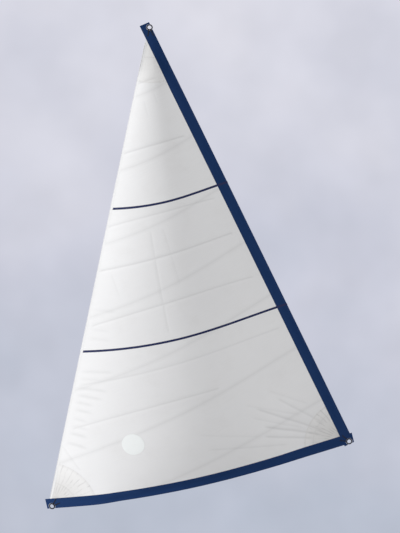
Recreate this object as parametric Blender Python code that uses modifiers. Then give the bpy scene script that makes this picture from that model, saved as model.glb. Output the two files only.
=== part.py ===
"""Roller-furling genoa, modelled flying on port side of its stay, in metres, +Z up.

The frame's origin is the centre of the tack ring. +X runs aft to the clew, +Z up, and the belly of the sail
is towards -Y (the port side, which carries the sun strips). "Plan" means the side view: a point (x, z).

Every cloth piece is cut from one shared faceted surface, so that layers only a few tenths of a millimetre
apart never cross: the piece's outline is a prism along Y, and its thickness is measured along Y. Layers are
counted to port of the panels, and a negative layer lies on the starboard side.
"""

import math

import bmesh
import bpy
from mathutils import Matrix, Vector

# Sail plan: the finished edges and the lean of the stay
LUFF_LENGTH = 11.455
LEECH_LENGTH = 10.66
FOOT_LENGTH = 6.86
LUFF_RAKE = math.radians(11.2)
FOOT_ROACH = 0.095
LEECH_ROUND = 0.013

# Flying shape: greatest depth of each section as a share of its chord
FOOT_CAMBER = 0.06
LOW_CAMBER = 0.139
HIGH_CAMBER = 0.146
FOOT_FLAT_ZONE = 0.28
HEAD_FLAT_ZONE = 0.12
DRAFT_PLACE = 0.464
LEECH_FULLNESS = 0.98
TWIST = 0.05
PATCH_FLAT_RADIUS = 0.80
PATCH_BLEND_RADIUS = 1.60
LEAST_CHORD = 0.02
SLOPE_REACH = 0.01

# Cloth and seams
CLOTH = 0.0004
GAP = 0.0003
PITCH = CLOTH + GAP
SEAM_LAP = 0.025
FIRST_SEAM = 1.367
SEAM_SPACING = 1.345
SEAM_ANGLE = math.radians(27.8)
PANELS = 8

# Facets: cells across the sail, and the margin of the shared surface beyond its edges, as a share of them
CELLS = 20
MARGIN = 0.05
FOOT_STATIONS = 12
LEECH_STATIONS = 8
ARC_STEPS = 32
PRISM_DEPTH = 3.0
LEAST_STEP = 0.002
SAME_PLACE = 0.000001

# Hems: folded tapes over a line, and the luff tape over its bead; where each ends short of the corners
LINE_DIAMETER = 0.003
BEAD_DIAMETER = 0.006
LINE_CLEARANCE = 0.00035
TAPE_WALL = 0.0006
TAPE_REVEAL = 0.0007
HEM_SEAT = 0.001
SLEEVE_SETBACK = 0.001
BORE_OVERRUN = 0.012
SLOT_OVERRUN = 0.010
EDGE_TAPE_WIDTH = 0.035
LUFF_TAPE_WIDTH = 0.050
TAPE_MARGIN = 0.002
EDGE_STEEPNESS = 1.1
LUFF_STEEPNESS = 1.25
FOOT_TACK_END = 0.22
FOOT_CLEW_END = 0.46
LEECH_CLEW_END = 0.46
LEECH_HEAD_END = 0.26
LUFF_TACK_END = 0.26
LUFF_HEAD_END = 0.48

# Sun strips on the port side
STRIP_WIDTH = 0.223
FOOT_STRIP_LAYER = 5
LEECH_STRIP_LAYER = 6

# Draft stripes, at a share of the luff's height, and how much more than the foot they rise to the leech
STRIPE_WIDTH = 0.042
STRIPE_HEIGHTS = (0.6184, 0.3249)
STRIPE_RISE = math.radians(0.92)
STRIPE_LUFF_INSET = 0.056
STRIPE_PROUD = 0.004
STRIPE_LAYER_PORT = 7
STRIPE_LAYER_STARBOARD = -2

# Corner patches: radius of each layer on the port and on the starboard side
TACK_PATCHES = (1.00, 0.56)
TACK_PATCHES_BEHIND = (1.30, 0.80)
CLEW_PATCHES = (0.98, 0.80)
CLEW_PATCHES_BEHIND = (0.90, 0.60)
HEAD_PATCHES = (1.25, 0.70)
HEAD_PATCHES_BEHIND = (1.10, 0.60)

# Corner rings, and the round cut-out in the cloth that clears them
RING_DIAMETER = 0.140
RING_BAR = 0.027
RING_FLAT = 0.016
RING_STEPS = 28
BAR_STEPS = 12
CUTOUT_CLEARANCE = 0.004
CUTOUT_RADIUS = RING_DIAMETER / 2 + CUTOUT_CLEARANCE
TACK_RING_FROM_LUFF = 0.085
TACK_RING_FROM_FOOT = 0.042
CLEW_RING_FROM_LEECH = 0.090
CLEW_RING_FROM_FOOT = 0.042
HEAD_RING_FROM_LEECH = 0.040
HEAD_RING_FROM_TOP = 0.115
HEAD_PULL = math.radians(-83)

# Webbing straps, two to a ring; the ring swings in their loops about the line through both
STRAP_WIDTH = 0.022
STRAP_THICKNESS = 0.0015
STRAP_SPREAD = math.radians(18)
STRAP_LENGTH = 0.150
STRAP_CONVERGE = 0.052
RING_SWING = math.radians(25)
SWING_SPARE = 0.0009
LOOP_STEPS = 6

# Line cleats on the starboard side at the clew
CLEAT_LENGTH = 0.034
CLEAT_WIDTH = 0.014
CLEAT_HEIGHT = 0.009
CLEAT_FLOOR = 0.0025
CHEEK_LIP = 0.0008
CLEAT_FROM_TAPE = 0.070
CLEAT_INSET = 0.024
LINE_RUN_OUT = 0.008
LINE_RUN_IN = 0.006
LINE_END = 0.008
LINE_BEND_PLACE = 0.4
LINE_BEND_DROP = 0.8

# Insignia disc on the port side
DISC_DIAMETER = 0.495
DISC_PLACE = (1.773, 1.64)


def clear_scene():
    for thing in list(bpy.data.objects):
        bpy.data.objects.remove(thing, do_unlink=True)


def new_collection(name):
    made = bpy.data.collections.new(name)
    bpy.context.scene.collection.children.link(made)
    return made


clear_scene()
GENOA = new_collection("genoa")
CUTTERS = new_collection("cutters")


def material(name, color, roughness, metallic=0.0):
    """A Principled material of one colour."""
    made = bpy.data.materials.new(name)
    made.use_nodes = True
    shader = made.node_tree.nodes["Principled BSDF"]
    shader.inputs["Base Color"].default_value = (*color, 1.0)
    shader.inputs["Roughness"].default_value = roughness
    shader.inputs["Metallic"].default_value = metallic
    made.diffuse_color = (*color, 1.0)
    return made


# Plan geometry: edge directions and corners


def bearing(angle):
    return Vector((math.cos(angle), math.sin(angle)))


def left_of(v):
    return Vector((-v.y, v.x))


TACK_ANGLE = math.acos(
    (LUFF_LENGTH**2 + FOOT_LENGTH**2 - LEECH_LENGTH**2) / (2 * LUFF_LENGTH * FOOT_LENGTH)
)
LUFF_ANGLE = math.pi / 2 - LUFF_RAKE
FOOT_ANGLE = LUFF_ANGLE - TACK_ANGLE
UP_LUFF = bearing(LUFF_ANGLE)
ALONG_FOOT = bearing(FOOT_ANGLE)
TACK = -(UP_LUFF * TACK_RING_FROM_FOOT + ALONG_FOOT * TACK_RING_FROM_LUFF) / math.sin(TACK_ANGLE)
HEAD = TACK + UP_LUFF * LUFF_LENGTH
CLEW = TACK + ALONG_FOOT * FOOT_LENGTH
DOWN_LEECH = (CLEW - HEAD).normalized()
LEECH_ANGLE = math.atan2(DOWN_LEECH.y, DOWN_LEECH.x)
INTO_FROM_LEECH = -left_of(DOWN_LEECH)
HEAD_ANGLE = math.acos(-UP_LUFF.dot(DOWN_LEECH))


def shares(point):
    """A plan point as a share up the luff and a share along the foot's direction."""
    p = point - TACK
    whole = ALONG_FOOT.cross(UP_LUFF)
    return ALONG_FOOT.cross(p) / whole / LUFF_LENGTH, p.cross(UP_LUFF) / whole / FOOT_LENGTH


def plan_point(up, along):
    return TACK + UP_LUFF * (LUFF_LENGTH * up) + ALONG_FOOT * (FOOT_LENGTH * along)


# Flying shape


def smooth(t):
    t = min(1.0, max(0.0, t))
    return t * t * (3 - 2 * t)


def camber_at(up):
    """Straight change of depth from foot to head, flattened near the foot and faded out at the head."""
    up = max(0.0, up)
    body = LOW_CAMBER + (HIGH_CAMBER - LOW_CAMBER) * up
    foot_loss = (LOW_CAMBER - FOOT_CAMBER) * max(0.0, 1 - up / FOOT_FLAT_ZONE) ** 2
    return (body - foot_loss) * (1 - smooth((up - 1 + HEAD_FLAT_ZONE) / HEAD_FLAT_ZONE))


def draft_at(share):
    """Depth over a chord, 1 at the draft: a parabola ahead of it, a flatter cubic behind, straight beyond."""
    if share < 0:
        return 2 * share / DRAFT_PLACE
    if share < DRAFT_PLACE:
        return 1 - (1 - share / DRAFT_PLACE) ** 2
    aft = (share - DRAFT_PLACE) / (1 - DRAFT_PLACE)
    if aft < 1:
        return 1 - (1 + LEECH_FULLNESS) * aft**2 + LEECH_FULLNESS * aft**3
    return (LEECH_FULLNESS - 2) * (aft - 1)


def free_height(point):
    """The sail's Y where no corner patch stiffens it."""
    up, along = shares(point)
    chord = max(LEAST_CHORD, 1 - up)
    return -camber_at(up) * FOOT_LENGTH * chord * draft_at(along / chord) - 4 * TWIST * up * along


class Corner:
    """A ring's place, the plane of the stiff cloth round it, and the frame that its fittings share."""

    def __init__(self, name, centre, pull, top_layer):
        self.name = name
        self.centre = centre
        self.pull = pull
        self.top_layer = top_layer
        aft = Vector((SLOPE_REACH, 0))
        above = Vector((0, SLOPE_REACH))
        self.height = free_height(centre)
        self.slope = Vector(
            (
                free_height(centre + aft) - free_height(centre - aft),
                free_height(centre + above) - free_height(centre - above),
            )
        ) / (2 * SLOPE_REACH)

    def plane(self, point):
        return self.height + self.slope.dot(point - self.centre)

    def frame(self, turn=0.0, along=0.0):
        """Matrix whose X runs along the cloth the way the corner pulls, Y to port and Z across the cloth."""
        heading = bearing(self.pull)
        run = Vector((heading.x, self.slope.dot(heading), heading.y)).normalized()
        port = Vector((self.slope.x, -1.0, self.slope.y)).normalized()
        across = run.cross(port)
        at = Vector((self.centre.x, self.height - BASE_HEIGHT, self.centre.y))
        square = Matrix(
            (
                (run.x, port.x, across.x, at.x),
                (run.y, port.y, across.y, at.y),
                (run.z, port.z, across.z, at.z),
                (0, 0, 0, 1),
            )
        )
        return square @ Matrix.Rotation(turn, 4, "Y") @ Matrix.Translation((along, 0, 0))


CLEW_OPENING = math.sin(TACK_ANGLE) * LUFF_LENGTH / LEECH_LENGTH
TACK_CORNER = Corner("tack", Vector((0.0, 0.0)), (LUFF_ANGLE + FOOT_ANGLE) / 2, FOOT_STRIP_LAYER)
CLEW_CORNER = Corner(
    "clew",
    CLEW - (DOWN_LEECH * CLEW_RING_FROM_FOOT + ALONG_FOOT * CLEW_RING_FROM_LEECH) / CLEW_OPENING,
    (LEECH_ANGLE + FOOT_ANGLE) / 2 + math.pi,
    LEECH_STRIP_LAYER,
)
HEAD_CORNER = Corner(
    "head",
    HEAD + DOWN_LEECH * HEAD_RING_FROM_TOP + INTO_FROM_LEECH * HEAD_RING_FROM_LEECH,
    HEAD_PULL,
    LEECH_STRIP_LAYER,
)
CORNERS = (HEAD_CORNER, TACK_CORNER, CLEW_CORNER)
BASE_HEIGHT = TACK_CORNER.height


def sail_height(point):
    """The sail's Y: the free shape, laid flat in the plane of each corner patch."""
    y = free_height(point)
    for corner in CORNERS:
        away = (point - corner.centre).length
        stiff = smooth((PATCH_BLEND_RADIUS - away) / (PATCH_BLEND_RADIUS - PATCH_FLAT_RADIUS))
        y += (corner.plane(point) - y) * stiff
    return y - BASE_HEIGHT


# The shared faceted surface

STEP = (1 + 2 * MARGIN) / CELLS


def node_height(i, j):
    return sail_height(plan_point(-MARGIN + STEP * i, -MARGIN + STEP * j))


HEIGHTS = [[node_height(i, j) for j in range(CELLS + 1)] for i in range(CELLS + 1)]


def facet_height(point):
    """The shared surface's Y at a plan point; each cell is halved along the leech's direction."""
    up, along = shares(point)
    a = (up + MARGIN) / STEP
    b = (along + MARGIN) / STEP
    i = min(CELLS - 1, int(a))
    j = min(CELLS - 1, int(b))
    a -= i
    b -= j
    if a + b <= 1:
        low = HEIGHTS[i][j]
        return low + a * (HEIGHTS[i + 1][j] - low) + b * (HEIGHTS[i][j + 1] - low)
    high = HEIGHTS[i + 1][j + 1]
    return high + (1 - a) * (HEIGHTS[i][j + 1] - high) + (1 - b) * (HEIGHTS[i + 1][j] - high)


def draped(points, offset):
    """A plan route laid on the shared surface, with a point wherever it crosses a facet's edge."""
    laid = []
    for start, end in zip(points, points[1:]):
        families = []
        for p in (start, end):
            up, along = shares(p)
            families.append(((up + MARGIN) / STEP, (along + MARGIN) / STEP, (up + along + 2 * MARGIN) / STEP))
        places = [0.0]
        for first, last in zip(*families):
            low, high = sorted((first, last))
            for line in range(math.ceil(low), math.floor(high) + 1):
                if high - low > SAME_PLACE:
                    places.append((line - first) / (last - first))
        for t in sorted(places):
            p = start.lerp(end, min(1.0, max(0.0, t)))
            here = Vector((p.x, facet_height(p) - offset, p.y))
            if not laid or (here - laid[-1]).length > LEAST_STEP:
                laid.append(here)
    p = points[-1]
    laid.append(Vector((p.x, facet_height(p) - offset, p.y)))
    return laid


def surface_slab(name, front, back, outline):
    """The part of the shared surface round an outline, from offset back to offset front (both to port)."""
    ups, alongs = zip(*(shares(p) for p in outline))
    reach = STEP + SAME_PLACE
    bm = bmesh.new()
    bmesh.ops.create_grid(bm, x_segments=CELLS, y_segments=CELLS, size=0.5)
    outside = []
    for vert in bm.verts:
        i = round((vert.co.x + 0.5) * CELLS)
        j = round((vert.co.y + 0.5) * CELLS)
        up = -MARGIN + STEP * i
        along = -MARGIN + STEP * j
        if not min(ups) - reach < up < max(ups) + reach:
            outside.append(vert)
        elif not min(alongs) - reach < along < max(alongs) + reach:
            outside.append(vert)
        p = plan_point(up, along)
        vert.co = (p.x, HEIGHTS[i][j] - back, p.y)
    bmesh.ops.delete(bm, geom=outside, context="VERTS")
    bmesh.ops.triangulate(bm, faces=bm.faces[:], quad_method="ALTERNATE")
    grown = bmesh.ops.extrude_face_region(bm, geom=bm.faces[:])
    moved = [e for e in grown["geom"] if isinstance(e, bmesh.types.BMVert)]
    bmesh.ops.translate(bm, verts=moved, vec=(0, back - front, 0))
    bmesh.ops.recalc_face_normals(bm, faces=bm.faces[:])
    mesh = bpy.data.meshes.new(name)
    bm.to_mesh(mesh)
    bm.free()
    return bpy.data.objects.new(name, mesh)


# Outlines in plan


def clip(points, at, inward):
    """The part of a convex outline on the inward side of a line."""
    kept = []
    for p, q in zip(points, points[1:] + points[:1]):
        dp = (p - at).dot(inward)
        dq = (q - at).dot(inward)
        if dp >= 0:
            kept.append(p)
        if dp * dq < 0:
            kept.append(p.lerp(q, dp / (dp - dq)))
    return kept


def stations(count, length, near, far):
    """Shares of an edge: its two ends, the ends of its tape, and even steps between those."""
    first = near / length
    last = 1 - far / length
    inner = [first + (last - first) * k / count for k in range(count + 1)]
    return [0.0, *inner, 1.0]


FOOT_SHARES = stations(FOOT_STATIONS, FOOT_LENGTH, FOOT_TACK_END, FOOT_CLEW_END)
LEECH_SHARES = stations(LEECH_STATIONS, LEECH_LENGTH, LEECH_HEAD_END, LEECH_CLEW_END)
LUFF_SHARES = stations(1, LUFF_LENGTH, LUFF_TACK_END, LUFF_HEAD_END)


def foot_edge(inset):
    """Tack to clew, with the roach below the straight line."""
    up = left_of(ALONG_FOOT)
    return [
        TACK + ALONG_FOOT * (FOOT_LENGTH * t) + up * (inset - FOOT_ROACH * 4 * t * (1 - t)) for t in FOOT_SHARES
    ]


def leech_edge(inset):
    """Head to clew, with the round outside the straight line."""
    return [
        HEAD
        + DOWN_LEECH * (LEECH_LENGTH * t)
        + INTO_FROM_LEECH * (inset - LEECH_ROUND * 4 * t * (1 - t))
        for t in LEECH_SHARES
    ]


def luff_edge(inset):
    """Tack to head, straight."""
    aft = -left_of(UP_LUFF)
    return [TACK + UP_LUFF * (LUFF_LENGTH * t) + aft * inset for t in LUFF_SHARES]


def sail_outline(luff_inset, foot_inset, leech_inset):
    """The convex outline inside the three edges, each moved in by its inset."""
    reach = LUFF_LENGTH * 2
    outline = [Vector((x, y)) * reach for x, y in ((-1, -1), (1, -1), (1, 1), (-1, 1))]
    outline = clip(outline, luff_edge(luff_inset)[0], -left_of(UP_LUFF))
    foot = foot_edge(foot_inset)
    for p, q in zip(foot, foot[1:]):
        outline = clip(outline, p, left_of(q - p).normalized())
    leech = leech_edge(leech_inset)
    for p, q in zip(leech, leech[1:]):
        outline = clip(outline, p, -left_of(q - p).normalized())
    return outline


def with_head_tab(outline, luff_inset, margin):
    """An outline whose top is replaced by the square end that backs the leech strip beyond the luff."""
    wide = STRIP_WIDTH - margin
    junction = (wide + luff_inset / math.cos(HEAD_ANGLE)) / math.tan(HEAD_ANGLE)
    kept = clip(outline, HEAD + DOWN_LEECH * junction, DOWN_LEECH)
    heights = [(p - HEAD).dot(DOWN_LEECH) for p in kept]
    for k, p in enumerate(kept):
        after = (k + 1) % len(kept)
        if max(heights[k], heights[after]) < junction + SAME_PLACE:
            top = [HEAD + DOWN_LEECH * margin + INTO_FROM_LEECH * inset for inset in (margin, wide)]
            if (p - kept[after]).dot(INTO_FROM_LEECH) > 0:
                top.reverse()
            return kept[: k + 1] + top + kept[k + 1 :]
    return kept


def within_circle(outline, centre, radius):
    for k in range(ARC_STEPS):
        out = bearing(2 * math.pi * (k + 0.5) / ARC_STEPS)
        outline = clip(outline, centre + out * radius, -out)
    return outline


def band(edge, outer, inner, trim=0.0):
    """The strip of plan between two insets of an edge, along its tape; trim lengthens it at both ends."""
    sides = []
    for inset in (outer, inner):
        run = edge(inset)[1:-1]
        run[0] = run[0] - (run[1] - run[0]).normalized() * trim
        run[-1] = run[-1] + (run[-1] - run[-2]).normalized() * trim
        sides.append(run)
    return sides[0] + sides[1][::-1]


# Solids


def prism(name, outline):
    """An outline in plan as a closed prism along Y."""
    return extruded(name, outline, 2 * PRISM_DEPTH, Matrix.Rotation(math.pi / 2, 4, "X"))


def curve_to_mesh(name, curve, place):
    """A curve's solid as a welded mesh object, with its place in the mesh."""
    holder = bpy.data.objects.new(name + "_curve", curve)
    CUTTERS.objects.link(holder)
    bpy.context.view_layer.update()
    mesh = bpy.data.meshes.new_from_object(holder.evaluated_get(bpy.context.evaluated_depsgraph_get()))
    bpy.data.objects.remove(holder, do_unlink=True)
    bm = bmesh.new()
    bm.from_mesh(mesh)
    bmesh.ops.remove_doubles(bm, verts=bm.verts[:], dist=1e-5)
    bmesh.ops.transform(bm, matrix=place, verts=bm.verts[:])
    bmesh.ops.recalc_face_normals(bm, faces=bm.faces[:])
    bm.to_mesh(mesh)
    bm.free()
    mesh.name = name
    return bpy.data.objects.new(name, mesh)


def as_cutter(thing):
    CUTTERS.objects.link(thing)
    thing.hide_render = True
    thing.display_type = "WIRE"
    return thing


def combine(target, operation, tool, solver="EXACT"):
    cut = target.modifiers.new(operation.lower() + "_" + tool.name, "BOOLEAN")
    cut.operation = operation
    cut.solver = solver
    cut.object = tool


def finish(thing, look):
    """Files a piece under the genoa with its own material."""
    GENOA.objects.link(thing)
    thing.data.materials.clear()
    thing.data.materials.append(look)
    return thing


def slab(name, outline, front, back):
    """A piece of the shared surface inside an outline, still to be filed."""
    made = surface_slab(name, front, back, outline)
    combine(made, "INTERSECT", as_cutter(prism(name + "_outline", outline)))
    return made


def layer_faces(layer):
    """Offsets of a cloth layer's port and starboard faces."""
    return layer * PITCH + CLOTH, layer * PITCH


def cloth(name, outline, layer, look, corners=()):
    """One ply of cloth on a layer, with the round cut-outs of the rings that it surrounds."""
    made = slab(name, outline, *layer_faces(layer))
    for corner in corners:
        combine(made, "DIFFERENCE", CUTOUTS[corner.name])
    return finish(made, look)


def cutout(corner):
    """The cylinder that clears a ring and its straps' loops out of the cloth."""
    bm = bmesh.new()
    bmesh.ops.create_cone(
        bm,
        cap_ends=True,
        segments=ARC_STEPS,
        radius1=CUTOUT_RADIUS,
        radius2=CUTOUT_RADIUS,
        depth=2 * PRISM_DEPTH,
    )
    turn = Matrix.Translation((corner.centre.x, 0, corner.centre.y)) @ Matrix.Rotation(math.pi / 2, 4, "X")
    bmesh.ops.transform(bm, matrix=turn, verts=bm.verts[:])
    mesh = bpy.data.meshes.new(corner.name + "_cutout")
    bm.to_mesh(mesh)
    bm.free()
    return as_cutter(bpy.data.objects.new(corner.name + "_cutout", mesh))


CUTOUTS = {corner.name: cutout(corner) for corner in CORNERS}


def panels(look):
    """Cross-cut panels between seams that rise to the leech, lapped by alternating their layers.

    At the tack and the clew they end square across the corner, clear of the ring, and the patches go on.
    """
    luff_inset = panel_inset(BEAD_DIAMETER)
    edge_inset = panel_inset(LINE_DIAMETER)
    outline = with_head_tab(sail_outline(luff_inset, edge_inset, edge_inset), luff_inset, edge_inset)
    for corner in (TACK_CORNER, CLEW_CORNER):
        inward = bearing(corner.pull)
        outline = clip(outline, corner.centre + inward * CUTOUT_RADIUS, inward)
    across = bearing(SEAM_ANGLE)
    down = -left_of(across)
    for k in range(PANELS):
        piece = outline
        if k > 0:
            seam = HEAD + DOWN_LEECH * (FIRST_SEAM + SEAM_SPACING * (k - 1))
            piece = clip(piece, seam - down * (SEAM_LAP / 2), down)
        if k < PANELS - 1:
            seam = HEAD + DOWN_LEECH * (FIRST_SEAM + SEAM_SPACING * k)
            piece = clip(piece, seam + down * (SEAM_LAP / 2), -down)
        cloth(f"panel_{k + 1}", piece, k % 2, look, (HEAD_CORNER,) if k == 0 else ())


def line_inset(diameter):
    """How far inside the finished edge a line of this diameter runs."""
    return TAPE_REVEAL + TAPE_WALL + LINE_CLEARANCE + diameter / 2


def panel_inset(diameter):
    """How far inside the finished edge the panels end, just clear of the line."""
    return line_inset(diameter) + diameter / 2 + LINE_CLEARANCE + HEM_SEAT


def line_level():
    """Offset of the hem lines: midway through the two panel layers."""
    return (layer_faces(1)[0] + layer_faces(0)[1]) / 2


def hem(name, edge, width, diameter, steepness, look):
    """A folded tape: two legs over the panels' edge, and outside it a sleeve that holds the line."""
    half = diameter / 2 + LINE_CLEARANCE
    centre = line_inset(diameter)
    tall = half * steepness
    level = line_level()
    port_leg = layer_faces(2)[0]
    starboard_leg = layer_faces(-1)[1]
    made = slab(name, band(edge, centre, width), port_leg, starboard_leg)
    sleeve = slab(
        name + "_sleeve",
        band(edge, centre - half - TAPE_WALL, centre + half + TAPE_WALL, -SLEEVE_SETBACK),
        level + tall + TAPE_WALL,
        level - tall - TAPE_WALL,
    )
    slot = slab(
        name + "_slot",
        band(edge, centre, width + SLOT_OVERRUN, SLOT_OVERRUN),
        layer_faces(2)[1],
        layer_faces(-1)[0],
    )
    bore = slab(
        name + "_bore", band(edge, centre - half, centre + half, BORE_OVERRUN), level + tall, level - tall
    )
    combine(made, "UNION", as_cutter(sleeve), "MANIFOLD")
    combine(made, "DIFFERENCE", as_cutter(slot), "MANIFOLD")
    combine(made, "DIFFERENCE", as_cutter(bore), "MANIFOLD")
    return finish(made, look)


def extruded(name, section, length, place):
    """A flat outline in X and Y drawn out along Z, half of the length each way, and put in its place."""
    curve = bpy.data.curves.new(name, "CURVE")
    curve.dimensions = "2D"
    curve.fill_mode = "BOTH"
    curve.extrude = length / 2
    spline = curve.splines.new("POLY")
    spline.points.add(len(section) - 1)
    for point, (x, y) in zip(spline.points, section):
        point.co = (x, y, 0, 1)
    spline.use_cyclic_u = True
    return curve_to_mesh(name, curve, place)


def tube(name, points, diameter, look):
    """A line or bead through points, as a smooth-sided tube with filled ends."""
    curve = bpy.data.curves.new(name, "CURVE")
    curve.dimensions = "3D"
    curve.bevel_depth = diameter / 2
    curve.bevel_resolution = 1
    curve.use_fill_caps = True
    spline = curve.splines.new("POLY")
    spline.points.add(len(points) - 1)
    for point, place in zip(spline.points, points):
        point.co = (*place, 1)
    return finish(curve_to_mesh(name, curve, Matrix.Identity(4)), look)


def cleat_frame(edge):
    """A hem line's run, the way it leaves its tape, and the matrix of its cleat: Y off the cloth, Z along."""
    run = edge(line_inset(LINE_DIAMETER))[1:-1]
    onward = (run[-1] - run[-2]).normalized()
    inward = left_of(onward) if edge is foot_edge else -left_of(onward)
    middle = run[-1] + onward * CLEAT_FROM_TAPE + inward * (CLEAT_INSET - line_inset(LINE_DIAMETER))
    heading = Vector((onward.x, CLEW_CORNER.slope.dot(onward), onward.y)).normalized()
    starboard = Vector((-CLEW_CORNER.slope.x, 1.0, -CLEW_CORNER.slope.y)).normalized()
    side = starboard.cross(heading)
    foot = Vector((middle.x, facet_height(middle), middle.y)) + starboard * (GAP - layer_faces(-2)[1])
    place = Matrix(
        (
            (side.x, starboard.x, heading.x, foot.x),
            (side.y, starboard.y, heading.y, foot.y),
            (side.z, starboard.z, heading.z, foot.z),
            (0, 0, 0, 1),
        )
    )
    return run, onward, place


def hem_line(name, edge, look):
    """The line in a hem, out of the tape's end, round the cloth's edge and into its cleat."""
    run, onward, place = cleat_frame(edge)
    points = draped([*run, run[-1] + onward * LINE_RUN_OUT], line_level())
    above_floor = CLEAT_FLOOR + GAP + LINE_DIAMETER / 2
    mouth = place @ Vector((0, above_floor, -CLEAT_LENGTH / 2 - LINE_RUN_IN))
    bend = points[-1].lerp(mouth, LINE_BEND_PLACE)
    bend.y = points[-1].lerp(mouth, LINE_BEND_DROP).y
    points += [bend, mouth]
    points.append(place @ Vector((0, above_floor, CLEAT_LENGTH / 2 + LINE_END)))
    return tube(name, points, LINE_DIAMETER, look)


def cleat(name, edge, look):
    """A channel with sloped cheeks that the line lies in, on the starboard face of the clew patch."""
    half = CLEAT_WIDTH / 2
    slot = LINE_DIAMETER / 2 + GAP
    cheek = CLEAT_FLOOR + LINE_DIAMETER
    right = (
        (half, 0),
        (half, CLEAT_FLOOR),
        (slot + 2 * CHEEK_LIP, CLEAT_HEIGHT),
        (slot + CHEEK_LIP, CLEAT_HEIGHT),
        (slot, cheek),
        (slot, CLEAT_FLOOR),
    )
    section = [*right, *((-x, y) for x, y in reversed(right))]
    return finish(extruded(name, section, CLEAT_LENGTH, cleat_frame(edge)[2]), look)


def sun_strips(look):
    """Strips of dark cover cloth along the foot and the leech, with square ends."""
    foot = foot_edge(0.0)
    inner = foot_edge(STRIP_WIDTH)
    cut_back = left_of(ALONG_FOOT) * STRIP_WIDTH
    foot[0] = TACK
    inner[0] = TACK + cut_back
    foot[-1] = CLEW
    inner[-1] = CLEW + cut_back
    cloth("foot_sun_strip", foot + inner[::-1], FOOT_STRIP_LAYER, look, (TACK_CORNER, CLEW_CORNER))
    leech = leech_edge(0.0)
    inner = leech_edge(STRIP_WIDTH)
    cloth("leech_sun_strip", leech + inner[::-1], LEECH_STRIP_LAYER, look, (HEAD_CORNER, CLEW_CORNER))


def draft_stripes(look):
    """Two bands nearly parallel to the foot on each side of the sail."""
    up = left_of(bearing(FOOT_ANGLE + STRIPE_RISE))
    for side, layer, leech_inset in (
        ("port", STRIPE_LAYER_PORT, -STRIPE_PROUD),
        ("starboard", STRIPE_LAYER_STARBOARD, EDGE_TAPE_WIDTH + TAPE_MARGIN),
    ):
        outline = sail_outline(STRIPE_LUFF_INSET, EDGE_TAPE_WIDTH, leech_inset)
        for name, share in zip(("upper", "lower"), STRIPE_HEIGHTS):
            middle = plan_point(share, 0)
            piece = clip(outline, middle - up * (STRIPE_WIDTH / 2), up)
            piece = clip(piece, middle + up * (STRIPE_WIDTH / 2), -up)
            cloth(f"{name}_stripe_{side}", piece, layer, look)


def patch_outline(corner, radius):
    """The sail inside its tapes, within a radius of a corner; the head's reaches under the strip's end."""
    luff_inset = LUFF_TAPE_WIDTH + TAPE_MARGIN
    edge_inset = EDGE_TAPE_WIDTH + TAPE_MARGIN
    inside = within_circle(sail_outline(luff_inset, edge_inset, edge_inset), corner.centre, radius)
    if corner is HEAD_CORNER:
        return with_head_tab(inside, luff_inset, edge_inset)
    return inside


def patches(look):
    for corner, port, starboard in (
        (HEAD_CORNER, HEAD_PATCHES, HEAD_PATCHES_BEHIND),
        (TACK_CORNER, TACK_PATCHES, TACK_PATCHES_BEHIND),
        (CLEW_CORNER, CLEW_PATCHES, CLEW_PATCHES_BEHIND),
    ):
        for k, radius in enumerate(port):
            cloth(f"{corner.name}_patch_port_{k + 1}", patch_outline(corner, radius), 2 + k, look, (corner,))
        for k, radius in enumerate(starboard):
            outline = patch_outline(corner, radius)
            cloth(f"{corner.name}_patch_starboard_{k + 1}", outline, -1 - k, look, (corner,))


def ring(corner, look):
    """A turned ring of round bar with flat sides, in the plane of the corner's cloth."""
    middle = (RING_DIAMETER - RING_BAR) / 2
    bm = bmesh.new()
    verts = []
    for k in range(BAR_STEPS):
        angle = math.pi / 2 - 2 * math.pi * (k + 0.5) / BAR_STEPS
        height = max(-RING_FLAT / 2, min(RING_FLAT / 2, RING_BAR / 2 * math.sin(angle)))
        verts.append(bm.verts.new((middle + RING_BAR / 2 * math.cos(angle), 0, height)))
    for a, b in zip(verts, verts[1:] + verts[:1]):
        bm.edges.new((a, b))
    mesh = bpy.data.meshes.new(corner.name + "_ring")
    bm.to_mesh(mesh)
    bm.free()
    made = bpy.data.objects.new(corner.name + "_ring", mesh)
    turned = made.modifiers.new("turned", "SCREW")
    turned.axis = "Z"
    turned.steps = RING_STEPS
    turned.render_steps = RING_STEPS
    turned.use_merge_vertices = True
    turned.merge_threshold = 0.00005
    turned.use_smooth_shade = True
    finish(made, look)
    hinge = bpy.data.objects.new(corner.name + "_ring_hinge", None)
    GENOA.objects.link(hinge)
    reach = middle * math.cos(STRAP_SPREAD)
    hinge.matrix_world = corner.frame(0.0, reach)
    made.parent = hinge
    made.matrix_parent_inverse = Matrix.Identity(4)
    made.matrix_local = Matrix.Translation((-reach, 0, 0)) @ Matrix.Rotation(-math.pi / 2, 4, "X")


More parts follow.
